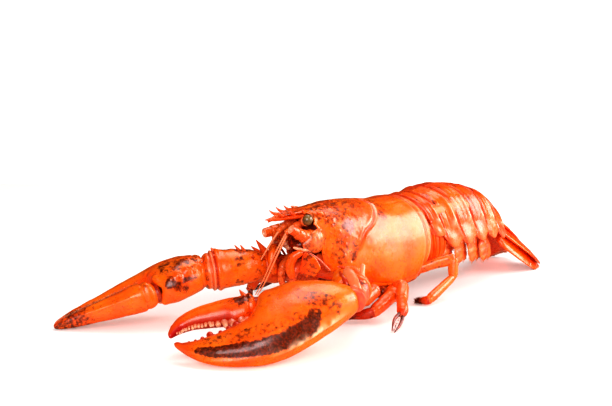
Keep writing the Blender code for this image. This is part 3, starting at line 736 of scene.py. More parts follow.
def body_core():
    """The flesh and inner plates seen between the legs and behind the mouth."""
    shape = Shape()
    rings = []
    for y in np.linspace(-79, 4, 40):
        yy = min(y, 1.0)
        width, low = table(SHELL_PLAN, yy)
        top = table(BACK_LINE, yy)[0]
        c, s = oval(40, 2.3)
        high = top - 3.5
        base = max(low - 1.0, 13.0) + 5.5
        rings.append(np.stack([c * (width - 3.2), np.full(40, y), (high + base) / 2 + s * (high - base) / 2],
                              axis=1))
    grid = np.array(rings)
    # Its strong dark note is painted shade, as this flesh is seen only in the gaps between the legs.
    shape.grid(rough(grid, 0.5, 5, 3), (0.75, 0.6, 0.0))
    piece("body_flesh", shape, JOINT, "soft_underside")

    rings = []
    rows = ((-64, 7, 20, 27), (-52, 10, 15.0, 25), (-34, 12.5, 11.4, 22), (-16, 13, 10.6, 22),
            (-2, 11, 12.5, 24))
    for y in np.linspace(-64, -2, 90):
        width, low, top = table(rows, y)
        c, s = oval(48, 3.0)
        rings.append(np.stack([c * width, np.full(48, y), (low + top) / 2 + s * (top - low) / 2], axis=1))
    grid = np.array(rings)
    notch = np.zeros(grid.shape[:2])
    for y in (-56, -43, -29, -15.5):
        notch -= 1.5 * bell(grid[..., 1] - y, 0.9)
    notch -= 1.2 * bell(grid[..., 0], 0.9) * (grid[..., 2] < 20)
    under = Shape().grid(raised(grid, notch + 0.25 * noise(grid, 3, 8)), (0, 0.1, 0.12))
    piece("thorax_plates", under, BELLY, "soft_underside", "thorax_underside")


# ---------------------------------------------------------------- tail

RING_SECTION = (
    (0.0, 0.0, 1.0), (0.11, 0.36, 0.965), (0.22, 0.68, 0.85), (0.33, 0.875, 0.65), (0.44, 0.955, 0.42),
    (0.55, 1.01, 0.19), (0.65, 1.04, 0.0), (0.70, 0.97, 0.0),
)
RING_PLANES = (
    (2.4, 13.0, 40.0, 22.0), (12.0, 22.5, 39.0, 24.5), (25.5, 37.0, 36.0, 26.2), (41.0, 51.0, 36.5, 25.8),
    (56.0, 64.5, 36.5, 24.2), (71.0, 78.5, 34.0, 21.5), (88.0, 93.0, 28.5, 17.0),
)
LOBE_DROP = (2.0, 8.0, 6.5, 6.5, 6.0, 4.5)
LOBE_BACK = (0.0, 1.0, 1.5, 2.0, 2.0, 1.5)


def somite(index):
    """One tail ring: a front step that slides under the ring before it, and side lobes."""
    y0, ly0, lz0, w0 = RING_PLANES[index]
    y1, ly1, lz1, w1 = RING_PLANES[index + 1]
    rows, n = 40, 201
    u = np.linspace(-1, 1, n)
    share = np.abs(u) * SHELL_EDGE
    side = np.sign(u)
    profile = table(RING_SECTION, share)
    s = np.linspace(-0.05, 1.07, rows)[:, None]
    sc = np.clip(s, 0, 1)
    y = y0 + (y1 - y0) * s
    z = table(BACK_LINE, y)[..., 0]
    lobe = np.sin(math.pi * np.clip(0.08 + 0.90 * sc, 0, 1))**0.75
    if index == 0:
        lobe = lobe * 0.6
    low_y = ly0 + (ly1 - ly0) * (0.5 + (s - 0.5) * (1.0 - 0.10 * lobe)) + LOBE_BACK[index] * lobe
    low_z = lz0 + (lz1 - lz0) * s - LOBE_DROP[index] * lobe
    step = 1.7 * fall(s, 0.10, 0.26) + 0.25 * bell(s - 0.31, 0.04) - 0.30 * bell(s - 0.92, 0.10)
    step = step + 0.5 * ramp(s, 1.0, 1.07)
    # The step fades out on the side lobes, where plates lie side by side.
    on_lobe = ramp(share, 0.46, 0.60)
    step = step * (1 - 0.75 * on_lobe)
    width = w0 + (w1 - w0) * s - step
    x = side * width * profile[:, 0]
    top_z = z - step
    yy = low_y + (y - low_y) * profile[:, 1]
    zz = low_z + (top_z - low_z) * profile[:, 1]
    grid = np.stack([x, yy, zz], axis=-1)
    # Side lobe: swollen middle with a rim, and the hinge knob above it.
    lift = 0.9 * oval_bell((share - 0.60) / 0.07, (s - 0.52) / 0.30)
    lift -= 0.5 * oval_bell((share - 0.47) / 0.035, (s - 0.30) / 0.35)
    lift += 0.8 * oval_bell((share - 0.455) / 0.02, (s - 0.88) / 0.12)
    lift -= 0.25 * bell(s - 0.60, 0.03) * stretch(share, 0.05, 0.20, 0.40, 0.50)
    lift += 0.12 * noise(grid, 9, 21 + index) + 0.07 * noise(grid, 2.6, 31 + index)
    grid = raised(grid, lift, around=False)
    # Painted shade on the front step, where it slides under the ring before it.
    painted_step_shade = fall(s, 0.08, 0.24) * (1 - on_lobe)
    freckled = stretch(share, 0.03, 0.12, 0.34, 0.44) * bell(s - 0.42, 0.24)
    notes = tones(
        grid, np.maximum(0.62 * painted_step_shade, 0.50 * freckled),
        0.45 * bell(s - 0.24, 0.06) + 0.25 * ramp(s, 0.97, 1.05) + 0.55 * bell(share - 0.685, 0.025)
        + 0.5 * bell(s - 0.06, 0.08) * on_lobe,
        0.45 * oval_bell((share - 0.455) / 0.03, (s - 0.88) / 0.14)
        # The pale rear rim and the pale middle of the lobe are painted highlights.
        + 0.30 * bell(s - 0.99, 0.03) * (1 - on_lobe)
        + 0.14 * oval_bell((share - 0.57) / 0.09, (s - 0.55) / 0.3),
    )
    shape = Shape().grid(grid, notes, around=False, poles=False)
    piece(f"tail_ring_{index + 1}", shape, TAIL, "body_shell", f"somite_{index + 1}", thickness=0.9)


def tail_core():
    """Flesh inside the tail, with the soft belly skin and its cross bars."""
    ends = np.array(RING_PLANES)
    t = np.linspace(0.1, 5.93, 110)
    rings = []
    for v in t:
        k = min(int(v), 5)
        f = v - k
        y, ly, lz, w = ends[k] + (ends[k + 1] - ends[k]) * f
        top = table(BACK_LINE, y)[0] - 3.0
        c, s = oval(56, 2.4)
        low_y, low_z = ly, lz + 1.0
        fz = (s + 1) / 2
        rings.append(np.stack([c * (w - 3.0), low_y + (y - low_y) * fz, low_z + (top - low_z) * fz], axis=1))
    grid = np.array(rings)
    phase = (t % 1.0)[:, None]
    under = grid[..., 2] < np.array([r[:, 2].min() + 6 for r in rings])[:, None]
    grid = raised(grid, (0.9 * bell(phase - 0.5, 0.16) - 0.5) * under + 0.2 * noise(grid, 3, 12))
    piece("tail_flesh", Shape().grid(grid, tones(grid, pale=0.18 * under)), BELLY, "soft_underside")


def fan_blade(name, node, base, tip, across, rows, ridges, split=None):
    """One arched plate of the tail fan, its edge fringed with bristles."""
    bend, sag, count, around, fringe = 1.0, 0.6, 70, 56, 3.2
    base, tip, across = (np.asarray(v, float) for v in (base, tip, across))
    axis = unit(tip - base)
    cross = unit(across - axis * np.dot(across, axis))
    normal = np.cross(axis, cross)
    if normal[2] < 0:
        normal = -normal
    c, s = oval(around, 2.6)
    share = np.linspace(0, 1, count)
    size = table(rows, share)
    grid = (
        base + np.multiply.outer(share, tip - base)[:, None, :]
        + (bend * np.sin(math.pi * share))[:, None, None] * normal
        + (c * size[:, :1])[..., None] * cross
        + (s * size[:, 1:2] - bend * sag * c**2)[..., None] * normal
    )
    share = share[:, None]
    up = np.broadcast_to(s > 0, grid.shape[:2])
    lift = np.zeros(grid.shape[:2])
    for at, width, height in ridges:
        lift += height * bell(c - at, width) * fall(share, 0.82, 1.0)
    if split:
        lift -= 0.35 * bell(share - split, 0.012)
    fine = np.sin(c * 60) * 0.10 * ramp(share, 0.55, 0.95)
    grid = grid + np.where(up, lift + fine, -lift * 0.3)[..., None] * normal
    grid = grid + 0.12 * noise(grid, 4, 5)[..., None] * normal
    notes = tones(grid, 0.30 * bell(share - 0.1, 0.15) + 0.25 * ramp(share, 0.5, 0.9),
                  0.35 * ramp(share, 0.80, 1.0) + 0.22 * ~up, 0.25 * ramp(share, 0.93, 1.0))
    shape = Shape().grid(grid, notes)
    # Bristles round the rim: up one side, across the end and down the other.
    rng = np.random.default_rng(int(abs(base[0]) * 10) + 5)
    turn = np.linspace(0, 1, 150)
    rim_share = np.where(turn < 0.2, 0.80 + turn, np.where(turn > 0.8, 1.8 - turn, 1.0))
    rim_c = np.clip((turn - 0.5) * 2.4, -1, 1)
    size = table(rows, rim_share)
    roots = (base + np.multiply.outer(rim_share, tip - base)
             + (rim_c * size[:, 0] * 0.97)[:, None] * cross - (bend * 0.6 * rim_c**2)[:, None] * normal)
    aim = axis + (rim_c * 0.55)[:, None] * cross - 0.1 * normal
    hairs(shape, roots, aim, fringe, 0.28, (0.25, 0.25, 0.15), seed=int(rng.integers(1000)))
    for block in shape.points:
        block[:, 2] = np.maximum(block[:, 2], 0.05)
    piece(name, shape, TAIL, "body_shell", node)


def tail_fan():
    """Middle plate and the two blades on each side."""
    telson = ((0, 8.5, 1.9), (0.08, 9.8, 2.0), (0.3, 11.0, 1.8), (0.7, 10.4, 1.4), (0.9, 9.2, 1.0),
              (0.97, 7.4, 0.8),
              (1, 5.0, 0.5))
    uropod = ((0, 4.0, 1.8), (0.08, 7.0, 2.0), (0.2, 9.2, 1.8), (0.6, 11.8, 1.4), (0.85, 10.4, 1.0),
              (0.95, 7.8, 0.8),
              (1, 4.6, 0.5))
    fan_blade("tail_middle_plate", "telson", (0, 91.5, 37.8), (0, 124.5, 13.0), (1, 0, 0), telson,
              ((-0.45, 0.10, 0.45), (0.45, 0.10, 0.45), (0.0, 0.2, -0.3)))
    for name, side in SIDES:
        fan_blade(f"tail_blade_{name}_inner", f"uropod_{name}_inner", (side * 8, 92, 32),
                  (side * 15.8, 129.5, 4.4),
                  (1, 0, -0.5 * side), uropod, ((0.05, 0.08, 0.75), (-0.5, 0.05, 0.2)))
        fan_blade(f"tail_blade_{name}_outer", f"uropod_{name}_outer", (side * 12, 91, 25),
                  (side * 18.6, 126.0, 2.6),
                  (1, 0, -1.0 * side), uropod, ((-0.15, 0.08, 0.75), (0.75 * side, 0.06, 0.3)), split=0.72)


def swimmerets():
    """Soft skin folds along the tail's lower edges, and the paired swimming limbs."""
    folds = Shape()
    steps = 120
    for side in (-1, 1):
        line = route([(side * 17.5, -1, 30), (side * 19.5, 8, 30), (side * 20.5, 18, 31),
                      (side * 18.5, 27, 32)], steps)
        rings = []
        for k, (px, py, _) in enumerate(line):
            wave = 1.1 * math.sin(k * 0.52) + 0.5 * math.sin(k * 1.31 + 1.0)
            drop = 20.5 + 4.5 * (k / (steps - 1)) + 0.8 * math.sin(k * 0.52 + 0.7)
            down = np.linspace(0, 1, 28)
            outer = [(px + side * (wave + 2.6 * math.sin(v * 2.6)), py,
                      44.0 + (drop - 44.0) * v) for v in down]
            inner = [(px + side * (wave - 2.0), py, 44.0 + (drop - 44.0) * v) for v in down[::-1]]
            rings.append(outer + inner)
        grid = np.array(rings)
        folds.grid(grid, tones(grid,
                               red=0.35 * ramp(np.sin(np.arange(steps) * 0.52)[:, None] * -1.0, 0.2, 0.9)))
    piece("tail_root_folds", folds, BELLY, "soft_underside")
    places = ((2, 30, 42.0, 12), (3, 44, 42.5, 12.5), (4, 58, 41.0, 12), (5, 71, 37.5, 11))
    for number, y, z, x in places:
        for name, side in SIDES:
            low = 18.5 - 1.4 * number
            shape = Shape()
            middle = (z + low) / 2
            stem = tube([(side * x, y, z), (side * (x + 1.2), y + 0.5, z - 6),
                         (side * (x + 2.0), y + 1.2, middle + 2)],
                        ((0, 2.0, 2.3), (0.6, 1.7, 2.2), (1, 1.6, 2.4)), ref=(0.9 * side, 0.2, 0), count=18,
                        around=18)
            shape.grid(stem, (0, 0.08, 0.10))
            for k, (dx, dy, turn) in enumerate(((1.4, -3.2, 0.0), (-1.2, 4.2, 0.5))):
                keys = [(side * (x + 2.0 + dx * 0.5), y + 1.2 + dy * 0.5, middle + 3),
                        (side * (x + 3.0 + dx), y + 3.0 + dy, middle - 2),
                        (side * (x + 3.6 + dx), y + 5.6 + dy, low + 1.2)]
                paddle = tube(keys, ((0, 1.8, 0.9), (0.30, 4.6, 1.1), (0.75, 4.9, 0.8), (1, 2.4, 0.4)),
                              ref=(0.9 * side, 0.2 + turn * 0.3, 0.0), count=26, around=22)
                share = shares(paddle)
                paddle = raised(paddle, 0.18 * np.sin(share * 26) + 0.12 * noise(paddle, 1.6, 60 + number))
                shape.grid(paddle, tones(paddle, 0, 0.30 * share**2, 0.06 * bell(share - 0.4, 0.3)))
                rim = paddle[8:-2]
                for roots in (rim[:, 0], rim[:, rim.shape[1] // 2]):
                    aim = unit(roots - rim.mean(axis=1)) + np.array((0, 0.1, -1.2))
                    hairs(shape, roots, aim, 2.2, 0.16, (0.1, 0.25, 0.2), seed=number * 7 + k)
            piece(f"swimming_limb_{name}_{number}", shape, BELLY, "soft_underside",
                  f"swimmeret_{name}_{number}")


# ---------------------------------------------------------------- head

EYE_CENTRE = (9.6, -84.2, 60.6)


def eyes():
    """Round eyes on short stalks."""
    for name, side in SIDES:
        centre = np.array(EYE_CENTRE) * (side, 1, 1)
        a = np.linspace(0, math.pi, 26)[1:-1, None]
        t = np.linspace(0, 2 * math.pi, 40, endpoint=False)
        ball = centre + 3.45 * np.stack([
            side * np.cos(a) * 0.92 + 0 * t, np.sin(a) * np.cos(t), np.sin(a) * np.sin(t)], axis=-1)
        piece(f"eye_ball_{name}", Shape().grid(ball), EYE, "eye", f"eye_{name}")
        stalk = tube([(side * 3.0, -82.5, 59.0), (side * 5.5, -84, 59.3), (side * 8.4, -84.6, 59.9)],
                     ((0, 2.6, 2.4), (0.5, 2.3, 2.3), (0.8, 3.2, 3.2), (1, 3.3, 3.3)), count=26, around=26,
                     ends=(0.4, 0.1))
        piece(f"eye_stalk_{name}", Shape().grid(rough(stalk, 0.15, 1.5, 7), (0.25, 0.2, 0.1)), LIMB,
              "feeler_shell")


def feelers():
    """Stout cut bases of the long feelers, and the scale beside each."""
    for name, side in SIDES:
        shape = Shape()
        end = (10.0, -98.0, 57.0) if side > 0 else (13.5, -99.0, 51.0)
        keys = mirrored([(12, -79, 49.0), (11.6, -85, 50.4), (11.5, -90, 52), end], side)
        stretches = 59
        line = route(keys, stretches + 1)
        parts = ((0.0, 0.40, 5.0, 4.8), (0.36, 0.60, 4.1, 3.9), (0.57, 0.78, 3.6, 3.4), (0.76, 1.0, 3.0, 2.8))
        for k, (a0, a1, ra, rb) in enumerate(parts):
            seg = line[int(a0 * stretches):int(a1 * stretches) + 1]
            last = k == len(parts) - 1
            grid = tube(seg[::max(1, len(seg) // 5)], ((0, ra * 0.92), (0.2, ra), (0.85, rb * 1.04), (1, rb)),
                        count=26, around=32, ends=(0.3, 0.0 if last else 0.3))
            grid = rough(grid, 0.16, 2.2, 70 + k)
            shape.grid(grid, (0.05, 0.10 + 0.05 * k, 0.02), poles=not last)
            if last:
                # Cut end: an open ring with a sunken floor.
                rim = grid[-1]
                mid = rim.mean(axis=0)
                ahead = unit(line[-1] - line[-4])
                steps = ((0.86, 0.3), (0.74, -0.1), (0.66, -1.6), (0.3, -1.9))
                inner = [rim] + [mid + (rim - mid) * size + ahead * reach for size, reach in steps]
                shape.grid(np.array(inner), (0, 0.05, 0.45), poles=False)
                fan = [(i, (i + 1) % 32, 32) for i in range(32)]
                shape.add(np.vstack([inner[-1], inner[-1].mean(axis=0)]), fan, (0.2, 0.4, 0.1))
                shape.add(np.vstack([grid[0], grid[0].mean(axis=0)]), [(b, a, c) for a, b, c in fan],
                          (0, 0.1, 0))
        # Small spines on the basal segments.
        for t in (0.12, 0.38):
            p = line[int(t * stretches)] + np.array((side * 3.6, 0, 1.2))
            cone(shape, p, p + np.array((side * 0.8, -3.2, 0.4)), 0.9)
        piece(f"feeler_base_{name}", shape, LIMB, "feeler_shell", f"antenna_{name}")

        scale = tube(mirrored([(14.5, -77.5, 47.5), (15.4, -82, 48.0), (15.2, -87, 47.4),
                               (13.8, -91.5, 46.6)], side),
                     ((0, 2.4, 5.0), (0.25, 3.0, 7.2), (0.55, 2.6, 6.6), (0.8, 1.8, 4.0), (1, 0.9, 1.6)),
                     count=40, around=36)
        share = shares(scale)
        scale = raised(scale, 0.25 * noise(scale, 3.0, 9) - 0.35 * bell(share - 0.34, 0.03))
        shape = Shape().grid(scale, (0.48, 0.0, 0.10))
        cone(shape, (side * 15.6, -86, 51.0), (side * 14.6, -92.6, 51.6), 1.3, (0, 0.1, 0), (0, 0.55, 0.2))
        # Rounded green-gland cone and white skin under it.
        for keys, sizes, note in (
            ([(10.5, -80, 43.0), (11, -84.5, 42.0)], ((0, 3.0, 2.6), (1, 2.4, 2.2)), (0, 0.05, 0.55)),
            ([(6.5, -82, 41.8), (7.0, -86.0, 41.0)], ((0, 2.6, 2.0), (1, 2.0, 1.6)), (0, 0.0, 0.7)),
        ):
            shape.grid(tube(mirrored(keys, side), sizes, count=14, around=22), note)
        piece(f"feeler_scale_{name}", shape, LIMB, "feeler_shell", f"antenna_scale_{name}")


def small_feelers():
    """Forked small feelers: a jointed base with two thin ringed whips."""
    whips = {
        "left": ([(4, -88, 56.0), (2.6, -95, 53.5), (-1.5, -101, 40), (-8, -104.3, 24), (-15.5, -104.5, 13)],
                 [(4.6, -88, 55.2), (3.6, -96, 51.5), (0.8, -101.5, 39), (-5, -105.0, 24),
                  (-12.5, -105.4, 13.5)]),
        "right": ([(-4, -88, 56.0), (-4.2, -95, 53.5), (-7, -101, 44), (-11, -105, 34), (-14.5, -106.4, 26)],
                  [(-4.8, -88, 55.2), (-5.6, -95, 52), (-8.6, -100, 43), (-12.4, -104, 34),
                   (-16.4, -105.8, 27.5)]),
    }
    for name, pair in whips.items():
        side = 1 if name == "left" else -1
        shape = Shape()
        base = route([(side * 3.4, -84, 57.2), (side * 4.0, -89, 56.6), (pair[0][1][0], -95.5, 53.4)], 12)
        for a, b, r in ((0, 5, 2.5), (4, 8, 2.1), (8, 11, 1.8)):
            grid = tube(base[a:b + 1], ((0, r * 0.9), (0.7, r), (1, r * 0.9)), count=12, around=20,
                        ends=(0.4, 0.4))
            shape.grid(grid, (0.04, 0.12, 0.10))
        for keys in pair:
            grid = tube(keys[1:], ((0, 0.85), (0.3, 0.62), (0.75, 0.45), (1, 0.25)), ref=(0.5, 0.2, 1),
                        count=150, around=12)
            rings = 0.05 * np.sign(np.sin(np.arange(len(grid)) * 1.35))[:, None]
            shape.grid(raised(grid, rings), (0.0, 0.12, 0.30))
        piece(f"small_feeler_{name}", shape, LIMB, "feeler_shell", f"antennule_{name}")


def mouth_limbs():
    """Jaw feet: five bent segments with bristles towards the middle."""
    for name, side in SIDES:
        shape = Shape()
        parts = (
            ([(6.5, -56, 23), (7.6, -66, 27.5), (8.0, -76, 31.5)],
             ((0, 3.0, 3.6), (0.5, 4.6, 5.0), (0.9, 4.8, 5.4), (1, 4.0, 4.6))),
            ([(7.8, -75, 31.5), (7.2, -81, 33.2), (6.6, -86.5, 33.0)],
             ((0, 3.8, 4.4), (0.5, 4.0, 4.8), (1, 3.0, 3.6))),
            ([(6.6, -85.5, 33.0), (5.8, -90.5, 30.5), (5.4, -92.2, 26.5)],
             ((0, 2.8, 3.2), (0.5, 3.1, 3.3), (1, 2.4, 2.6))),
            ([(5.4, -92.2, 27.2), (5.0, -92.6, 22.5), (4.8, -91.4, 18.4)],
             ((0, 2.3, 2.5), (0.5, 2.2, 2.3), (1, 1.5, 1.6))),
            ([(4.8, -91.4, 18.8), (4.4, -90.0, 15.5), (3.8, -88.0, 13.2)],
             ((0, 1.5, 1.6), (0.5, 1.2, 1.3), (1, 0.5, 0.5))),
        )
        for k, (keys, sizes) in enumerate(parts):
            grid = tube(mirrored(keys, side), sizes, ref=(0, 0.4, 1), count=28, around=28)
            grid = rough(grid, 0.18, 2.4, 80 + k)
            shape.grid(grid, (0.05, 0.05 * k, 0.10))
            rng = np.random.default_rng(90 + k)
            amount = 60 if k else 20
            roots = grid[rng.integers(4, len(grid) - 4, amount), rng.integers(0, 28, amount)]
            inward = np.array((-side * 1.0, 0.25, -0.5))
            hairs(shape, roots, np.broadcast_to(inward, roots.shape), 2.6, 0.16, (0.45, 0.5, 0.0),
                  seed=91 + k)
        piece(f"mouth_limb_{name}", shape, LIMB, "leg_shell", f"maxilliped_{name}")


def mouth_plates():
    """Plates between the jaws, and the outer jaw feet with their cheek plate, rod and a rough white strand of
    painted glints.
    """
    shape = Shape()
    grid = tube([(0, -74, 46), (0, -82, 45.5), (0, -86.5, 44.0)],
                ((0, 13.5, 7.0), (0.5, 11.5, 5.5), (1, 6.0, 3.0)),
                count=30, around=44)
    shape.grid(rough(grid, 0.6, 3.0, 41), (0.65, 0.6, 0.0))
    for sd in (-1, 1):
        grid = tube(mirrored([(4.5, -70, 36), (4.2, -80, 38.5), (2.0, -86, 38.0)], sd),
                    ((0, 4.5), (0.6, 4.4, 4.6), (1, 2.0, 2.6)), count=26, around=26)
        shape.grid(rough(grid, 0.3, 2.0, 43), (0.60, 0.65, 0.0))
        grid = tube(mirrored([(11, -66, 30), (13.5, -74, 34.5), (13.0, -80, 38)], sd),
                    ((0, 2.2, 4.5), (0.6, 2.4, 4.6), (1, 1.2, 2.2)), count=24, around=24)
        shape.grid(grid, (0.05, 0.2, 0.05))
    for sd in (-1, 1):
        bent = tube(mirrored([(12.5, -92.5, 42.5), (9.4, -96.0, 39.0), (8.0, -97.4, 33.5),
                              (8.2, -95.6, 27.0)], sd),
                    ((0, 2.0), (0.3, 2.7), (0.8, 2.6), (1, 2.0)), count=44, around=28)
        bent = rough(bent, 0.18, 2.0, 45)
        shape.grid(bent, tones(bent, 0.45 * ramp(noise(bent, 3, 48), 0.0, 0.5)))
        plate = tube(mirrored([(13.2, -90.0, 42.0), (14.0, -87.2, 35.5), (14.6, -86.0, 27.0)], sd),
                     ((0, 1.2, 1.0), (0.35, 4.6, 1.2), (0.75, 6.4, 1.3), (1, 3.0, 0.8)),
                     ref=(0.75 * sd, -0.62, 0.1), count=40, around=34)
        plate = rough(plate, 0.18, 2.6, 46)
        shape.grid(plate, tones(plate, 0.45 + 0.2 * ramp(noise(plate, 3, 49), 0.0, 0.5)))
        rod = tube(mirrored([(14.8, -88.0, 42.2), (17.0, -81.0, 36.4), (19.6, -75.0, 29.6)], sd),
                   ((0, 0.5), (0.5, 0.75), (1, 0.6)), count=30, around=12)
        shape.grid(rod, (0.0, 0.6, 0.1))
        # A rough white strand under the feeler scale: painted glints along the edge there.
        skin = tube(mirrored([(9.6, -95.6, 45.4), (12.0, -93.0, 44.6), (14.4, -89.8, 44.0),
                              (15.6, -85.0, 43.2)], sd),
                    ((0, 0.6, 0.7), (0.3, 1.1, 1.0), (0.7, 1.2, 1.1), (1, 0.6)), count=60, around=20)
        shape.grid(rough(skin, 0.45, 1.5, 47), (0.0, 0.0, 0.62))
    piece("mouth_plates", shape, LIMB, "feeler_shell")


# ---------------------------------------------------------------- claws

CRUSHER = claw_frame((74.0, -108.0, 29.0), (27.0, -197.0, 8.0), (-0.78, 0.43, 0.45))
CUTTER = claw_frame((-31.0, -133.0, 30.0), (-72.0, -212.0, 1.6), (0.888, -0.461, 0.0))


def speckled(grid, seed, amount, radius, height, low=3):
    """Low grains scattered over a ring grid."""
    rng = np.random.default_rng(seed)
    rows, n = grid.shape[:2]
    r = rng.integers(low, rows - low, amount)
    c = rng.integers(0, n, amount)
    return bumps(grid, grid[r, c], rng.uniform(radius * 0.7, radius * 1.2, amount), np.full(amount, height))


def crusher_hand():
    """Palm and fixed finger, with the keel, hinge knobs and blunt teeth."""
    rows = (
        (-1.0, -6.0, 5.0, 6.0, 6.0), (1.0, -8.2, 7.0, 8.0, 7.8), (4.0, -9.8, 9.0, 9.6, 9.2),
        (11.0, -12.8, 13.8, 11.8, 11.5), (21.0, -16.8, 18.0, 13.4, 13.5),
        (33.0, -21.7, 21.0, 14.0, 14.0), (44.5, -25.4, 20.6, 13.6, 13.5),
        (50.0, -26.4, 17.0, 13.0, 12.5), (55.0, -26.8, 8.5, 12.0, 11.5),
        (62.0, -26.6, 2.0, 10.5, 10.0), (71.0, -24.8, 1.0, 8.8, 8.5),
        (81.0, -21.2, -0.3, 7.0, 7.0), (91.0, -14.8, -0.6, 5.0, 5.0),
        (98.0, -7.0, 1.2, 3.0, 3.0), (101.5, -1.2, 3.4, 1.7, 1.7), (102.6, 0.8, 3.4, 0.7, 0.7),
    )
    grid, (along, _, c, s, angle) = slab(CRUSHER, rows, 170, 200)
    lift = 0.5 * noise(grid, 16, 51) + 0.12 * noise(grid, 5, 52)
    # Keel along the outer edge: a raised line with a soft channel above it and a low fold below.
    keel = bell(angle - 172, 9) * stretch(along, 4, 20, 92, 101)
    beside = stretch(along, 8, 24, 88, 100)
    lift += 0.7 * keel - 0.3 * bell(angle - 150, 12) * beside
    lift += 0.4 * bell(angle + 158, 7) * beside
    # Hinge knobs of the moving finger, above and below, and the pit beside them.
    for sign in (1, -1):
        lift += bumps(grid, [in_claw(CRUSHER, 50.5, 15.0, sign * 10.5)], [4.0], [1.5])
        lift += bumps(grid, [in_claw(CRUSHER, 54.5, 8.5, sign * 10.5)], [2.6], [-0.9])
    lift += speckled(grid, 53, 260, 1.0, 0.07)
    # Blunt tubercles along the inner palm margin.
    for a, w in ((14, 14.0), (22, 17.4), (31, 19.6), (39.5, 20.2), (46, 18.6)):
        lift += bumps(grid, [in_claw(CRUSHER, a, w, 4.5)], [2.0], [0.7])
    grid = raised(grid, lift)
    top = ramp(s, -0.2, 0.3)
    # Dark cloud from the middle of the palm down along the outer side to the tip, with freckles above it.
    dark = patch(
        grid,
        ((76.2, -139, 25.8, 5.0, 0.75), (77.5, -143, 21, 6.0, 1.0), (76, -150, 17.5, 6.2, 1.0),
         (73.2, -160, 14.5, 5.6, 1.0), (68.2, -170, 12, 5.0, 1.0), (60.8, -179, 10.8, 4.6, 1.0),
         (51, -188, 9.2, 3.6, 0.9), (42, -192.5, 9.0, 2.4, 0.8)),
        ((62.5, -139, 34.5, 5, 0.46), (70, -135.6, 33, 7, 0.60), (74.6, -129.4, 32, 6, 0.52),
         (78.5, -126.3, 28.5, 6, 0.50)),
        ((73.5, -147.5, 25, 5, 0.48), (68.4, -157.3, 22, 5, 0.44), (60, -170, 18, 5, 0.46),
         (50, -180, 14, 5, 0.48),
         (42, -187, 12, 4, 0.46)),
    )
    gap = bell(c - 1, 0.35) * ramp(along, 54, 62)
    outer = (np.abs(angle) > 90).astype(float)
    shape = Shape().grid(grid, tones(
        grid, dark * top + 0.30 * (1 - top) * ramp(noise(grid, 9, 54), -0.1, 0.6),
        0.75 * gap * ramp(along, 56, 70) + 0.55 * ramp(along, 86, 101) * (1 - 0.5 * outer),
        # Pale streaks along the keel towards the wrist are a painted highlight on its edge.
        0.75 * keel * ramp(noise(grid, 3, 55), -0.9, 0.2) * fall(along, 30, 62),
    ))
    # Teeth of the fixed finger: low red tubercles.
    red, cream = (0, 0.85, 0), (0, 0.25, 0.55)
    for a, r, h, tip_note in ((59.5, 3.4, 1.6, cream), (66.5, 3.8, 1.9, red), (71.0, 2.6, 1.3, red),
                              (76.0, 2.0, 0.9, red),
                              (82.0, 3.0, 1.9, red), (86.5, 1.8, 0.9, red), (90.5, 1.3, 0.7, red),
                              (94.0, 1.0, 0.6, red)):
        high = table(np.array(rows)[:, (0, 2)], a)[0]
        base = in_claw(CRUSHER, a, high - 0.9, 0.6)
        cone(shape, base, in_claw(CRUSHER, a + 0.6, high + h, 0.8), r, (0, 0.7, 0.0), tip_note, around=18,
             rings=8, blunt=0.65)
    piece("crusher_hand", shape, CLAW, "claw_shell", "crusher_palm")


def crusher_finger():
    """Moving finger, with uneven molar teeth."""
    rows = (
        (52.0, 10.0, 19.0, 5.0, 5.0), (53.6, 8.6, 20.8, 7.4, 7.0), (55.5, 7.6, 22.0, 8.6, 8.0),
        (61.0, 5.5, 21.8, 8.2, 8.0), (66.0, 5.5, 22.6, 7.6, 7.6),
        (72.0, 8.4, 23.2, 7.0, 7.0), (80.0, 10.4, 23.4, 6.2, 6.2),
        (88.5, 12.0, 22.4, 5.2, 5.2), (95.5, 11.4, 20.0, 4.1, 4.1),
        (101.0, 9.2, 16.0, 2.8, 2.8), (103.2, 8.2, 13.0, 1.5, 1.5), (104.0, 9.0, 11.4, 0.6, 0.6),
    )
    grid, (along, wide, c, s, angle) = slab(CRUSHER, rows, 120, 96)
    lift = 0.25 * noise(grid, 8, 61) + 0.07 * noise(grid, 3, 62)
    lift += 0.35 * bell(angle - 40, 12) * stretch(along, 58, 66, 92, 102)
    lift -= 0.35 * bell(angle - 66, 10) * stretch(along, 56, 64, 90, 100)
    lift += -0.55 * bell(along - 57.0, 0.8) + 0.35 * bell(along - 54.4, 1.0)
    lift += speckled(grid, 63, 90, 0.9, 0.09)
    grid = raised(grid, lift)
    shape = Shape().grid(grid, tones(
        grid, 0.80 * oval_bell((along - 60) / 8, (wide - 15) / 6) * ramp(s, -0.3, 0.3),
        0.80 * bell(c + 1, 0.55) * ramp(along, 62, 70) + 0.35 * ramp(along, 90, 102),
    ))
    rng = np.random.default_rng(64)
    tooth_places = (59, 64, 70, 76, 99)
    at = 59.5
    while at < 99.5:
        size = np.interp(at, tooth_places, (2.2, 3.4, 3.2, 1.9, 0.8)) * rng.uniform(0.75, 1.2)
        reach = np.interp(at, tooth_places, (1.2, 2.4, 3.4, 2.4, 1.0)) * rng.uniform(0.55, 1.25)
        low = table(np.array(rows)[:, :2], at)[0]
        edge = 0.5 + 0.25 * rng.standard_normal()
        tip = in_claw(CRUSHER, at + rng.uniform(-0.3, 0.7), low - reach, edge)
        cone(shape, in_claw(CRUSHER, at, low + 1.2, edge), tip, size, (0, 0.75, 0.05),
             (0, 0.05, rng.uniform(0.6, 0.95)), around=18, rings=8, blunt=rng.uniform(0.45, 0.75))
        at += 1.25 * size
    cone(shape, in_claw(CRUSHER, 57.5, 18.4, 6.0), in_claw(CRUSHER, 59.0, 23.4, 7.2), 1.6, (0, 0.2, 0),
         (0, 0.7, 0.1))
    piece("crusher_moving_finger", shape, CLAW, "claw_shell", "crusher_finger")


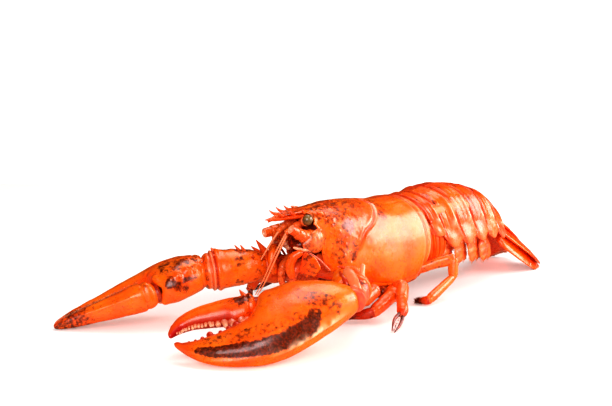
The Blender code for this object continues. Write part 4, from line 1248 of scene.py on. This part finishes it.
def crusher_wrist():
    """Wrist with its spines and the ridges round the hand's socket."""
    shape = Shape()
    grid = tube([(51.8, -86.5, 31.2), (55, -91, 31.8), (60.5, -97, 32.2), (71.0, -105.0, 29.6)],
                ((0, 7.4, 7.8), (0.25, 9.2, 9.8), (0.55, 10.4, 11.8), (0.85, 10.4, 10.6), (1, 8.8, 8.4)),
                ref=(-0.5, -0.3, 0.8), count=70, around=64)
    share = shares(grid)
    lift = 0.7 * noise(grid, 7, 64) + 0.15 * noise(grid, 3, 65) - 0.9 * bell(share - 0.88, 0.025)
    lift += 0.5 * bell(share - 0.80, 0.05)
    lift += speckled(grid, 66, 70, 1.5, 0.22)
    grid = raised(grid, lift)
    shape.grid(grid, tones(
        grid, 0.48 * ramp(noise(grid, 6, 67), 0.0, 0.6) + 0.3 * ramp(share, 0.86, 0.92),
        0.25 * ramp(noise(grid, 5, 68), 0.0, 0.6) + 0.5 * ramp(share, 0.82, 0.90),
        0.22 * ramp(noise(grid, 4, 69), 0.2, 0.7) * fall(share, 0.75, 0.80),
    ))
    for base, tip, r in (
        ((58.0, -103.0, 37.2), (47.4, -110.2, 37.6), 3.4), ((61, -100, 42.0), (58.6, -104.4, 44.2), 1.3),
    ):
        cone(shape, base, tip, r, (0.0, 0.45, 0.0), (0, 0.85, 0.0), around=22, rings=12, blunt=0.36)
    # A broad lip, a red line inside it and a hinge rod outside it; the lip's pale tint and the rod's paler
    # colour are painted highlights.
    toward = (0.73, -0.66, 0.19)
    for keys, sizes, note in (
        ([(60.6, -100.0, 43.0), (64.5, -103.3, 41.8), (69.4, -104.9, 39.2), (74.0, -105.9, 34.6),
          (75.4, -104.6, 28.6)],
         ((0, 1.2, 1.0), (0.3, 3.2, 1.5), (0.7, 2.9, 1.5), (1, 1.4, 1.0)), (0.0, 0.30, 0.20)),
        ([(59.4, -104.4, 40.6), (64.0, -106.8, 39.2), (68.0, -107.6, 36.8), (70.6, -106.9, 32.0),
          (71.4, -105.2, 27.0)],
         ((0, 0.9, 0.9), (0.4, 1.5, 1.3), (1, 1.0, 0.9)), (0.0, 0.75, 0.0)),
        ([(65.8, -92.8, 43.8), (68.6, -96.0, 39.8), (72.5, -98.8, 36.4), (75.0, -100.8, 32.6)],
         ((0, 1.6, 1.4), (0.4, 1.4, 1.2), (1, 1.0, 0.9)), (0.0, 0.10, 0.35)),
    ):
        lip = tube(np.array(keys) + 1.5 * np.array(toward), sizes, ref=toward, count=60, around=24,
                   ends=(0.8, 0.8))
        shape.grid(rough(lip, 0.14, 2.2, 70), note)
    piece("crusher_wrist_joint", shape, CLAW, "claw_shell", "crusher_wrist")

    arm("crusher", [(28, -68, 20.5), (39.5, -76, 25.5), (51.5, -86, 31.0)], 0.90,
        [((43, -83, 35.5), (39.5, -88.0, 38.0), 1.8), ((37, -76, 32.5), (34.6, -80.0, 35.0), 1.2)])
    limb_base("crusher", [(13, -58, 17), (19, -62, 17.5), (28, -68.5, 20.2)])


def arm(name, keys, trim, spines):
    """The long segment between the base and the wrist, this much narrower than high."""
    shape = Shape()
    sizes = ((0, 5.2 * trim, 6.4), (0.15, 5.2 * trim, 6.4), (0.5, 7.4 * trim, 9.3), (0.85, 8.1 * trim, 9.7),
             (1, 7.2 * trim, 8.4))
    grid = tube(keys, sizes, count=64, around=56, square=2.3)
    share = shares(grid)
    lift = 0.45 * noise(grid, 6, 71) + 0.12 * noise(grid, 2.6, 72)
    lift = lift - 0.6 * bell(share - 0.16, 0.02) - 0.5 * bell(share - 0.86, 0.02)
    grid = raised(grid, lift)
    shape.grid(grid, tones(grid, 0.25 * ramp(noise(grid, 5, 73), 0.0, 0.6),
                           0.15 + 0.25 * ramp(noise(grid, 4, 74), 0.0, 0.6)))
    for base, tip, r in spines:
        cone(shape, base, tip, r, (0.0, 0.2, 0.0), (0, 0.7, 0.15), around=16, rings=9)
    piece(f"{name}_upper_arm", shape, CLAW, "claw_shell", f"{name}_arm")


def limb_base(name, keys):
    """Three short segments between the body and the arm."""
    shape = Shape()
    line = route(keys, 30)
    for a, b, r in ((0, 14, 5.6), (12, 21, 6.0), (20, 29, 5.7)):
        sizes = ((0, r * 0.9, r * 0.95), (0.6, r, r * 1.06), (1, r * 0.9, r * 0.95))
        grid = tube(line[a:b + 1:2], sizes, count=24, around=36, ends=(0.3, 0.3))
        shape.grid(rough(grid, 0.25, 3, 75), (0.08, 0.2, 0.05))
    piece(f"{name}_arm_base", shape, CLAW, "claw_shell", f"{name}_base")


def cutter_hand():
    """Slim palm and fixed finger, with knobs on the upper inner margin and a bristled tooth row."""
    rows = (
        (-1.0, -8.0, 8.0, 9.0, 9.0), (1.0, -9.6, 9.8, 10.4, 9.8), (4.0, -11.5, 11.5, 11.3, 10.6),
        (12.0, -16.0, 16.0, 13.0, 11.4), (21.0, -19.0, 18.5, 13.2, 11.6),
        (28.0, -20.0, 15.5, 12.2, 11.0), (33.0, -20.0, 5.0, 10.5, 10.2),
        (40.0, -19.0, 0.2, 9.0, 9.0), (52.0, -16.0, -0.3, 7.4, 7.4),
        (66.0, -12.0, -0.3, 6.0, 6.0), (80.0, -7.5, -0.3, 4.4, 4.4),
        (90.0, -4.0, -0.3, 2.6, 2.6), (93.4, -2.2, -0.4, 1.2, 1.2), (94.0, -1.6, -0.8, 0.6, 0.6),
    )
    grid, (along, _, c, _, _) = slab(CUTTER, rows, 160, 108)
    lift = 0.4 * noise(grid, 13, 81) + 0.10 * noise(grid, 4, 82)
    lift += -0.5 * bell(along - 2.6, 0.9)
    lift += speckled(grid, 83, 240, 0.95, 0.10)
    # Knobs (x, y, z, radius, height) along the upper inner margin and round the finger's hinge.
    # The first four are bare of mottling.
    knobs = (
        (-25.3, -140.8, 35.1, 1.9, 1.9), (-24.2, -144.9, 32.9, 1.2, 1.0), (-24.8, -149.4, 33.5, 2.1, 2.1),
        (-25.4, -155.6, 31.4, 2.1, 2.1), (-27.5, -136.8, 37.2, 1.3, 1.0), (-23.6, -139.6, 30.0, 1.2, 0.7),
        (-26.8, -159.6, 29.6, 1.4, 0.9), (-30.5, -144.0, 38.4, 1.2, 0.6), (-43.0, -163.2, 30.0, 1.9, 1.4),
        (-49.1, -161.8, 29.9, 1.7, 1.0), (-36.7, -163.4, 29.4, 1.8, 1.3), (-32.4, -163.8, 23.6, 2.6, -1.6),
        (-27.9, -161.6, 25.4, 2.0, 1.2), (-33.0, -162.5, 17.0, 2.0, 0.9),
    )
    for kx, ky, kz, r, h in knobs:
        lift += bumps(grid, [np.array((kx, ky, kz))], [r], [h])
    for sign in (1, -1):
        lift += bumps(grid, [in_claw(CUTTER, 30.0, 11.5, sign * 9.0)], [3.2], [1.5])
        lift += bumps(grid, [in_claw(CUTTER, 33.6, 6.0, sign * 9.0)], [2.2], [-0.9])
    grid = raised(grid, lift)
    notes = tones(
        grid,
        patch(
            grid,
            ((-27, -139, 37, 6, 0.56), (-28, -148, 36, 8, 0.62), (-35, -156, 35.5, 9, 0.60)),
            ((-40, -150, 38, 6, 0.48), (-34, -140, 40, 5, 0.48)),
            ((-24.5, -146, 31, 4.4, 0.74), (-24.5, -152.5, 30.5, 5.0, 0.80), (-26, -159, 28.5, 4.5, 0.80)),
            (-30, -170, 15, 6, 0.45), ((-23.4, -153, 24, 4.2, 0.60), (-27.0, -160.5, 26.5, 3.6, 0.80)),
            # The dark spot at the pit beside the finger's hinge is painted shade.
            (-32.4, -163.8, 23.0, 3.0, 0.85),
            ((-50, -176, 20, 6, 0.42), (-56, -186, 16, 6, 0.48), (-66, -204, 8, 6, 0.66)),
        ),
        0.15 * ramp(along, 70, 90) + 0.35 * bell(c - 1, 0.25) * ramp(along, 36, 46),
        0.35 * ramp(along, 86, 94) * 0.5,
    )
    for kx, ky, kz, r, h in knobs[:4]:
        spot = bell(np.linalg.norm(grid - (kx, ky, kz), axis=-1), 1.5 * r)
        notes[..., 0] *= 1 - spot
        notes[..., 1] = np.maximum(notes[..., 1], 0.30 * spot)
    shape = Shape().grid(grid, notes)
    rng = np.random.default_rng(85)
    for a in np.arange(44, 91, 1.7):
        row = table(np.array(rows)[:, :4], a)
        h = 0.9 + 0.7 * rng.random() * (1 - (a - 44) / 70)
        tip = in_claw(CUTTER, a, row[1] + h, row[2] * 0.66)
        cone(shape, in_claw(CUTTER, a, row[1] - 0.4, row[2] * 0.62), tip, 0.75, (0.1, 0.4, 0.2),
             (0, 0.2, 0.7),
             around=8, rings=5, blunt=0.5)
    n = 300
    a = rng.uniform(38, 91, n)
    row = table(np.array(rows)[:, :4], a)
    root = in_claw(CUTTER, a, row[:, 1] - rng.uniform(0.2, 1.4, n), row[:, 2] * rng.uniform(0.55, 0.80, n))
    hairs(shape, root, np.broadcast_to(CUTTER[3] + CUTTER[2] * 0.5, (n, 3)), 1.7, 0.13, (0.35, 0.1, 0.45),
          seed=86)
    piece("cutter_hand", shape, CLAW, "claw_shell", "cutter_palm")


def cutter_finger():
    """Moving finger, straight and ridged, with a bristled edge."""
    rows = (
        (31.5, 8.0, 15.0, 5.0, 4.6), (33.6, 5.8, 16.4, 7.4, 6.6), (36.0, 4.0, 17.0, 8.6, 7.4),
        (42.0, 0.6, 16.8, 8.8, 8.2), (52.0, 0.1, 14.4, 7.3, 7.3),
        (66.0, 0.1, 10.6, 5.9, 5.9), (80.0, 0.1, 6.8, 4.3, 4.3),
        (89.5, 0.1, 3.8, 2.5, 2.5), (93.0, 0.2, 2.2, 1.2, 1.2), (93.8, 0.6, 1.6, 0.6, 0.6),
    )
    grid, (along, _, c, _, angle) = slab(CUTTER, rows, 130, 96)
    lift = 0.22 * noise(grid, 8, 91) + 0.07 * noise(grid, 3, 92)
    lift += 0.45 * bell(angle - 30, 10) * stretch(along, 38, 48, 64, 80)
    lift -= 0.5 * bell(angle - 58, 12) * stretch(along, 40, 50, 66, 80)
    lift += 0.8 * bumps(grid, [in_claw(CUTTER, 35.5, 13.0, 7.0)], [2.6], [1.2])
    lift += -0.55 * bell(along - 38.5, 0.8)
    lift += speckled(grid, 93, 90, 0.8, 0.08)
    grid = raised(grid, lift)
    shape = Shape().grid(grid, tones(
        grid, 0.62 * ramp(along, 60, 80) + 0.5 * oval_bell((along - 36) / 4, (angle - 60) / 40)
        + 0.30 * oval_bell((along - 44) / 12, (angle + 40) / 40),
        0.10 * ramp(along, 70, 90) + 0.5 * bell(c + 1, 0.25) * ramp(along, 42, 50),
    ))
    rng = np.random.default_rng(95)
    n = 260
    a = rng.uniform(44, 91, n)
    row = table(np.array(rows)[:, :4], a)
    root = in_claw(CUTTER, a, 0.3 + rng.uniform(0, 1.0, n), row[:, 2] * rng.uniform(0.6, 0.85, n))
    hairs(shape, root, np.broadcast_to(CUTTER[3] - CUTTER[2] * 0.5, (n, 3)), 1.6, 0.13, (0.35, 0.1, 0.45),
          seed=96)
    piece("cutter_moving_finger", shape, CLAW, "claw_shell", "cutter_finger")


def cutter_wrist():
    """Wrist with a ringed collar and six spines."""
    shape = Shape()
    grid = tube([(-16.3, -102, 30.4), (-18.5, -108, 30.8), (-23, -118, 30.8), (-30.5, -131, 29.2)],
                ((0, 8.4, 8.8), (0.2, 10.4, 10.2), (0.5, 12.2, 11.4), (0.8, 12.8, 12.0), (1, 10.4, 10.6)),
                count=76, around=64, ends=(0.6, 0.3))
    share = shares(grid)
    lift = 0.55 * noise(grid, 7, 101) + 0.12 * noise(grid, 3, 102)
    for at, width, height in ((0.80, 0.02, -1.0), (0.75, 0.03, 0.5), (0.88, 0.02, -0.8), (0.84, 0.02, 0.3)):
        lift = lift + height * bell(share - at, width)
    lift += speckled(grid, 103, 150, 1.0, 0.22)
    grid = raised(grid, lift)
    shape.grid(grid, tones(
        grid, 0.54 * ramp(noise(grid, 6, 104), -0.3, 0.4) * fall(share, 0.70, 0.76)
        + 0.55 * ramp(share, 0.90, 0.95),
        0.80 * bell(share - 0.80, 0.022) + 0.35 * bell(share - 0.88, 0.03),
        0.30 * bell(share - 0.845, 0.018) + 0.25 * bell(share - 0.905, 0.012),
    ))
    for base, tip, r in (
        ((-20.5, -113, 41.0), (-20.8, -116.2, 44.8), 1.1),
        ((-17.5, -111.5, 41.0), (-17.2, -114.6, 45.2), 1.2),
        ((-29, -125, 40.0), (-29.5, -127.4, 43.2), 2.2), ((-24, -127, 38.5), (-22.5, -131.0, 40.8), 1.7),
        ((-12.6, -109, 37.5), (-9.4, -111.5, 40.2), 1.3), ((-33, -118, 37.0), (-36.5, -120, 40.0), 1.4),
    ):
        cone(shape, base, tip, r, (0.05, 0.15, 0.05), (0, 0.65, 0.15), around=16, rings=9, blunt=0.25)
    piece("cutter_wrist_joint", shape, CLAW, "claw_shell", "cutter_wrist")
    arm("cutter", [(-18.5, -69.5, 21.3), (-18, -84, 26), (-16.4, -100.5, 30.6)], 1.0,
        [((-16.2, -96, 38.2), (-17.0, -102.5, 46.6), 2.2), ((-14.0, -90, 35.0), (-12.8, -94.5, 39.6), 1.3),
         ((-20.5, -98, 38.0), (-22.0, -102.5, 42.0), 1.4)])
    limb_base("cutter", [(-12, -57.5, 17.2), (-15, -62, 18), (-18.4, -69.5, 21.0)])


def joint_skins():
    """Soft collars where the big limb segments meet."""
    shape = Shape()
    for keys, r in (
        (([70.0, -102.5, 30.4], [74.5, -109.5, 28.4]), 8.0),
        (([-29.5, -129.5, 29.4], [-32.6, -136.0, 29.2]), 9.2),
        (([49.5, -83.5, 29.0], [53.0, -88.0, 30.4]), 5.6),
        (([-16.6, -98.5, 30.2], [-17.4, -105.5, 30.6]), 7.8),
        (([25.0, -66.0, 19.4], [30.5, -69.6, 21.4]), 5.2),
        (([-17.6, -66.5, 20.2], [-18.6, -72.0, 22.0]), 5.2),
    ):
        grid = tube(keys, ((0, r), (0.5, r * 0.92), (1, r)), count=20, around=40, ends=(0.2, 0.2))
        grid = raised(grid, 0.12 * np.sin(shares(grid) * 40) + 0.2 * noise(grid, 3.5, 111))
        shape.grid(grid, (0.05, 0.15, 0.08))
    # Inside the base of each moving finger.
    for local, a, w, r in ((CRUSHER, 54.0, 13.0, 6.4), (CUTTER, 34.0, 9.0, 6.2)):
        keys = [in_claw(local, a - 4, w, 0.0), in_claw(local, a + 4, w + 0.5, 0.0)]
        grid = tube(keys, ((0, r, r * 0.95), (1, r, r * 0.95)), ref=local[3], count=16, around=36,
                    ends=(0.3, 0.3))
        shape.grid(rough(grid, 0.3, 2.5, 112), (0.30, 0.45, 0.0))
    piece("joint_skins", shape, JOINT, "soft_underside")


# ---------------------------------------------------------------- walking legs

# Each leg: joints as (x, y, z, half width, half height), then how it ends.
LEGS = {
    "left_2": (
        ((12, -50, 14, 3.6, 4.0), (24, -52, 10, 3.2, 3.8), (39.5, -56, 17.5, 4.0, 4.6),
         (40, -67, 13.5, 4.0, 4.4), (31, -80, 7.5, 3.0, 3.4), (21, -91, 2.2, 0.8, 0.9)), "claw",
    ),
    "left_3": (
        ((13, -36, 13, 3.6, 4.0), (28, -35, 9, 3.4, 4.0), (46, -38.5, 18.5, 4.3, 4.9),
         (52, -46, 13, 3.7, 4.1), (61.5, -55.0, 8.8, 3.5, 3.7), (68.2, -69.8, 1.0, 0.7, 0.8)), "claw",
    ),
    "left_4": (
        ((13, -22, 13, 3.6, 4.0), (24, -25, 8.8, 3.2, 3.8), (38, -34, 13.8, 3.9, 4.5),
         (43, -45, 13.5, 4.6, 4.8), (44, -62.5, 6.2, 3.6, 3.8), (33, -75, 2.4, 0.9, 0.9)), "point",
    ),
    "left_5": (
        ((12, -9, 15, 3.6, 4.0), (22, -3, 18, 2.9, 3.4), (36.4, 17.4, 25.6, 3.2, 3.9),
         (37.9, 16.2, 14.0, 2.7, 3.1), (40, -9, 3.3, 2.8, 3.2), (31, -12, 1.6, 0.8, 0.8)), "brush",
    ),
    "right_2": (
        ((-12, -50, 14, 3.6, 4.0), (-24, -62, 14, 3.0, 3.4), (-34.5, -80, 19.2, 3.2, 3.8),
         (-36.6, -86, 15.4, 2.8, 3.2), (-38.2, -90, 10.5, 2.7, 3.0), (-38.6, -89.5, 2.6, 0.8, 0.9)), "claw",
    ),
    "right_3": (
        ((-13, -36, 13, 3.6, 4.0), (-28, -36, 9, 3.0, 3.6), (-46, -38.5, 17.2, 3.4, 4.0),
         (-50, -46, 12.4, 3.0, 3.4), (-54, -54, 8.0, 2.7, 3.1), (-61, -68, 1.0, 0.7, 0.8)), "claw",
    ),
    "right_4": (
        ((-13, -22, 13, 3.6, 4.0), (-24, -24, 8.8, 3.0, 3.6), (-38.5, -25.6, 14, 3.4, 4.0),
         (-42.5, -35, 10.5, 3.1, 3.5), (-45.5, -50, 4.8, 2.7, 3.0), (-44, -62, 1.4, 0.7, 0.8)), "point",
    ),
    "right_5": (
        ((-12, -9, 15, 3.6, 4.0), (-22, -3, 17, 2.9, 3.4), (-35.6, 16.4, 23.6, 3.2, 3.8),
         (-39.6, 12.5, 12.5, 2.7, 3.1), (-44, -10, 3.2, 2.8, 3.2), (-36, -15.6, 1.6, 0.8, 0.8)), "brush",
    ),
}


LEG_TIP = (0.78, 0.65, 0.0)
FLOOR_GAP = 0.02


def leg_segment(shape, a, b, size_a, size_b, seed, note, bow=0.0, last=False):
    """One leg segment from a to b; the last one tapers and darkens to its tip."""
    a, b = np.asarray(a, float), np.asarray(b, float)
    mid = (a + b) / 2 + np.array((0, 0, bow))
    wa, ha = size_a
    wb, hb = size_b
    if last:
        sizes = ((0, wa * 0.80, ha * 0.80), (0.15, wa * 0.86, ha * 0.86),
                 (0.6, (wa + wb) * 0.42, (ha + hb) * 0.42),
                 (1, wb * 0.6, hb * 0.6))
    else:
        sizes = ((0, wa * 0.74, ha * 0.74), (0.12, wa * 0.84, ha * 0.86),
                 (0.5, (wa + wb) * 0.46, (ha + hb) * 0.47),
                 (0.86, wb, hb), (1, wb * 0.86, hb * 0.88))
    ref = (0, 0, 1) if abs(unit(b - a)[2]) < 0.8 else (1, 0.4, 0)
    grid = tube([a, mid, b], sizes, ref=ref, count=34, around=26, square=2.2, ends=(0.5, 0.5))
    share = shares(grid)
    grid = raised(grid, 0.16 * noise(grid, 2.6, seed) + 0.05 * noise(grid, 1.1, seed + 1)
                  - 0.25 * bell(share - 0.86, 0.02))
    dark, red, pale = note
    if last:
        dark = dark * (0.45 + 0.55 * ramp(share, 0.35, 0.85))
    shape.grid(grid, tones(grid, dark,
                           red + 0.25 * bell(share - 0.05, 0.06) + 0.15 * bell(share - 0.97, 0.05),
                           pale + 0.22 * bell(share - 0.99, 0.04)))


def leg_hairs(shape, start, end, radius, amount, seed, note, length):
    """Bristles round a leg between two points."""
    rng = np.random.default_rng(seed)
    t = rng.uniform(0.05, 0.95, amount)[:, None]
    spin = rng.uniform(0, 2 * math.pi, amount)
    axis = unit(np.subtract(end, start))
    side = unit(np.cross(axis, (0.2, 0.3, 1.0)))
    up = np.cross(side, axis)
    out = np.cos(spin)[:, None] * side + np.sin(spin)[:, None] * up
    root = np.asarray(start, float) + np.subtract(end, start) * t + out * radius * (1.15 - 0.75 * t)
    hairs(shape, root, out + axis * 0.9, length, 0.14, note, seed=seed)


def legs():
    """Walking legs: five segments each, ending in a small claw, a point or a brush."""
    for number, (name, (joints, finish)) in enumerate(LEGS.items()):
        upper, lower = Shape(), Shape()
        points = [np.array(joint[:3], float) for joint in joints]
        sizes = [joint[3:] for joint in joints]
        seed = 200 + number * 10
        for k, (part, note, bow) in enumerate((
            (upper, (0.66, 0.25, 0.0), 0.0), (upper, (0.44, 0.10, 0.03), 0.6),
            (lower, (0.10, 0.12, 0.04), 0.0), (lower, (0.10, 0.14, 0.03), 0.0),
        )):
            leg_segment(part, points[k], points[k + 1], sizes[k], sizes[k + 1], seed + k, note, bow)
        if finish == "claw":
            root, tip = points[4], points[5]
            axis = unit(tip - root)
            across = unit(np.cross(axis, (0.3, 0.5, 0.8)))
            palm_end = root + (tip - root) * 0.16
            leg_segment(lower, root, palm_end, sizes[4], (2.1, 2.3), seed + 4, (0.30, 0.45, 0.0))
            for sign in (-1, 1):
                begin = palm_end - axis * 0.8 + across * sign * 1.15
                middle = root + (tip - root) * 0.52 + across * sign * (2.5 if sign > 0 else 1.9)
                finger = tube([begin, middle, tip + across * sign * 0.9],
                              ((0, 1.15, 1.25), (0.5, 0.85, 0.95), (1, 0.25, 0.3)),
                              count=26, around=16)
                finger[..., 2] = np.maximum(finger[..., 2], FLOOR_GAP)
                lower.grid(finger, LEG_TIP)
                leg_hairs(lower, begin, tip + across * sign * 0.4, 1.0, 46, seed + 6 + sign,
                          (0.75, 0.2, 0.0), 1.3)
        else:
            leg_segment(lower, points[4], points[5], sizes[4], sizes[5], seed + 4, LEG_TIP, last=True)
            amount, radius, length = (240, 1.7, 2.1) if finish == "brush" else (110, 1.5, 1.5)
            leg_hairs(lower, points[4] + (points[5] - points[4]) * 0.25, points[5], radius, amount, seed + 7,
                      (0.85, 0.15, 0.0), length)
            leg_hairs(lower, points[3] + (points[4] - points[3]) * 0.78, points[4], 2.4, 70, seed + 8,
                      (0.7, 0.3, 0.0), 1.7)
        for block in upper.points + lower.points:
            block[:, 2] = np.maximum(block[:, 2], FLOOR_GAP)
        piece(f"leg_{name}_inner_part", upper, LIMB, "leg_shell", f"leg_{name}_upper")
        piece(f"leg_{name}_outer_part", lower, LIMB, "leg_shell", f"leg_{name}_lower")


# ---------------------------------------------------------------- scene

VIEW = math.radians(48.0)
MIDDLE = HOME + np.array((0.0, -0.04, 0.0))


def table_top():
    """A plain pale floor just below the animal."""
    ahead = np.array((-math.sin(VIEW), math.cos(VIEW), 0.0))
    right = np.array((math.cos(VIEW), math.sin(VIEW), 0.0))
    corners = [MIDDLE + right * a + ahead * b - np.array((0, 0, 0.0003))
               for a, b in ((-3.0, -2.0), (3.0, -2.0), (3.0, 0.44), (-3.0, 0.44))]
    mesh = bpy.data.meshes.new("table_top")
    mesh.from_pydata([tuple(c) for c in corners], [], [(0, 1, 2, 3)])
    floor = bpy.data.objects.new("table_top", mesh)
    bpy.context.scene.collection.objects.link(floor)
    material, tree, shader = nodes_of("table_white", 0.22)
    shader.inputs["Base Color"].default_value = (0.94, 0.92, 0.89, 1.0)
    shader.inputs["Emission Color"].default_value = (1.0, 0.985, 0.96, 1.0)
    shader.inputs["Emission Strength"].default_value = 0.17
    # The shell mirrors a darker floor than the one seen, so its lower flanks stay a full orange.
    darker = tree.nodes.new("ShaderNodeBsdfDiffuse")
    darker.inputs["Color"].default_value = (0.42, 0.37, 0.32, 1.0)
    either = tree.nodes.new("ShaderNodeMixShader")
    tree.links.new(tree.nodes.new("ShaderNodeLightPath").outputs["Is Glossy Ray"], either.inputs["Fac"])
    tree.links.new(shader.outputs["BSDF"], either.inputs[1])
    tree.links.new(darker.outputs["BSDF"], either.inputs[2])
    tree.links.new(either.outputs["Shader"], tree.nodes["Material Output"].inputs["Surface"])
    mesh.materials.append(material)


def room():
    """White surroundings, dimmer in their light and in reflections than to the camera."""
    world = bpy.data.worlds.new("bright_room")
    world.use_nodes = True
    sky = world.node_tree
    sky.nodes["Background"].inputs["Color"].default_value = (1.0, 1.0, 1.0, 1.0)
    rays = sky.nodes.new("ShaderNodeLightPath").outputs
    seen = spread(sky, rays["Is Camera Ray"], 0.0, 1.0, 0.34, 1.0)
    mirrored_sky = spread(sky, rays["Is Glossy Ray"], 0.0, 1.0, 1.0, 0.10)
    strength = math_node(sky, "MULTIPLY", seen, mirrored_sky)
    sky.links.new(strength, sky.nodes["Background"].inputs["Strength"])
    bpy.context.scene.world = world


def lamp(name, azimuth, elevation, distance, size, energy):
    """A soft rectangular lamp aimed at the animal."""
    a, e = math.radians(azimuth), math.radians(elevation)
    aim = Vector(MIDDLE + np.array((0, 0, 0.03)))
    spot = aim + distance * Vector((math.sin(a) * math.cos(e), -math.cos(a) * math.cos(e), math.sin(e)))
    data = bpy.data.lights.new(name, "AREA")
    data.shape = "RECTANGLE"
    data.size, data.size_y = size
    data.energy = energy
    data.color = (1.0, 0.955, 0.99)
    obj = bpy.data.objects.new(name, data)
    obj.location = spot
    obj.rotation_euler = (aim - spot).to_track_quat("-Z", "Y").to_euler()
    bpy.context.scene.collection.objects.link(obj)


def look_from():
    """The camera, and how the picture is toned."""
    camera = bpy.data.cameras.new("camera")
    camera.sensor_width = 36.0
    camera.lens = 76.5
    camera.clip_start = 0.02
    eye = bpy.data.objects.new("camera", camera)
    pitch = math.radians(10.8)
    forward = Vector((-math.sin(VIEW) * math.cos(pitch), math.cos(VIEW) * math.cos(pitch), -math.sin(pitch)))
    aim = Vector(place((-151.0, 59.0, 30.0)))
    eye.location = aim - forward * 0.999
    eye.rotation_euler = forward.to_track_quat("-Z", "Y").to_euler()
    bpy.context.scene.collection.objects.link(eye)
    bpy.context.scene.camera = eye
    bpy.context.scene.view_settings.view_transform = "Standard"
    bpy.context.scene.view_settings.look = "Very High Contrast"


carapace()
carapace_spines()
body_core()
for ring_number in range(6):
    somite(ring_number)
tail_core()
tail_fan()
swimmerets()
eyes()
feelers()
small_feelers()
mouth_limbs()
mouth_plates()
crusher_hand()
crusher_finger()
crusher_wrist()
cutter_hand()
cutter_finger()
cutter_wrist()
joint_skins()
legs()
table_top()
room()
lamp("softbox_side", 138.0, 22.0, 1.1, (0.85, 0.78), 8.0)
lamp("softbox_top", 200.0, 72.0, 1.2, (0.9, 0.7), 3.6)
lamp("softbox_front", 40.0, 24.0, 1.6, (1.2, 0.9), 10.0)
look_from()
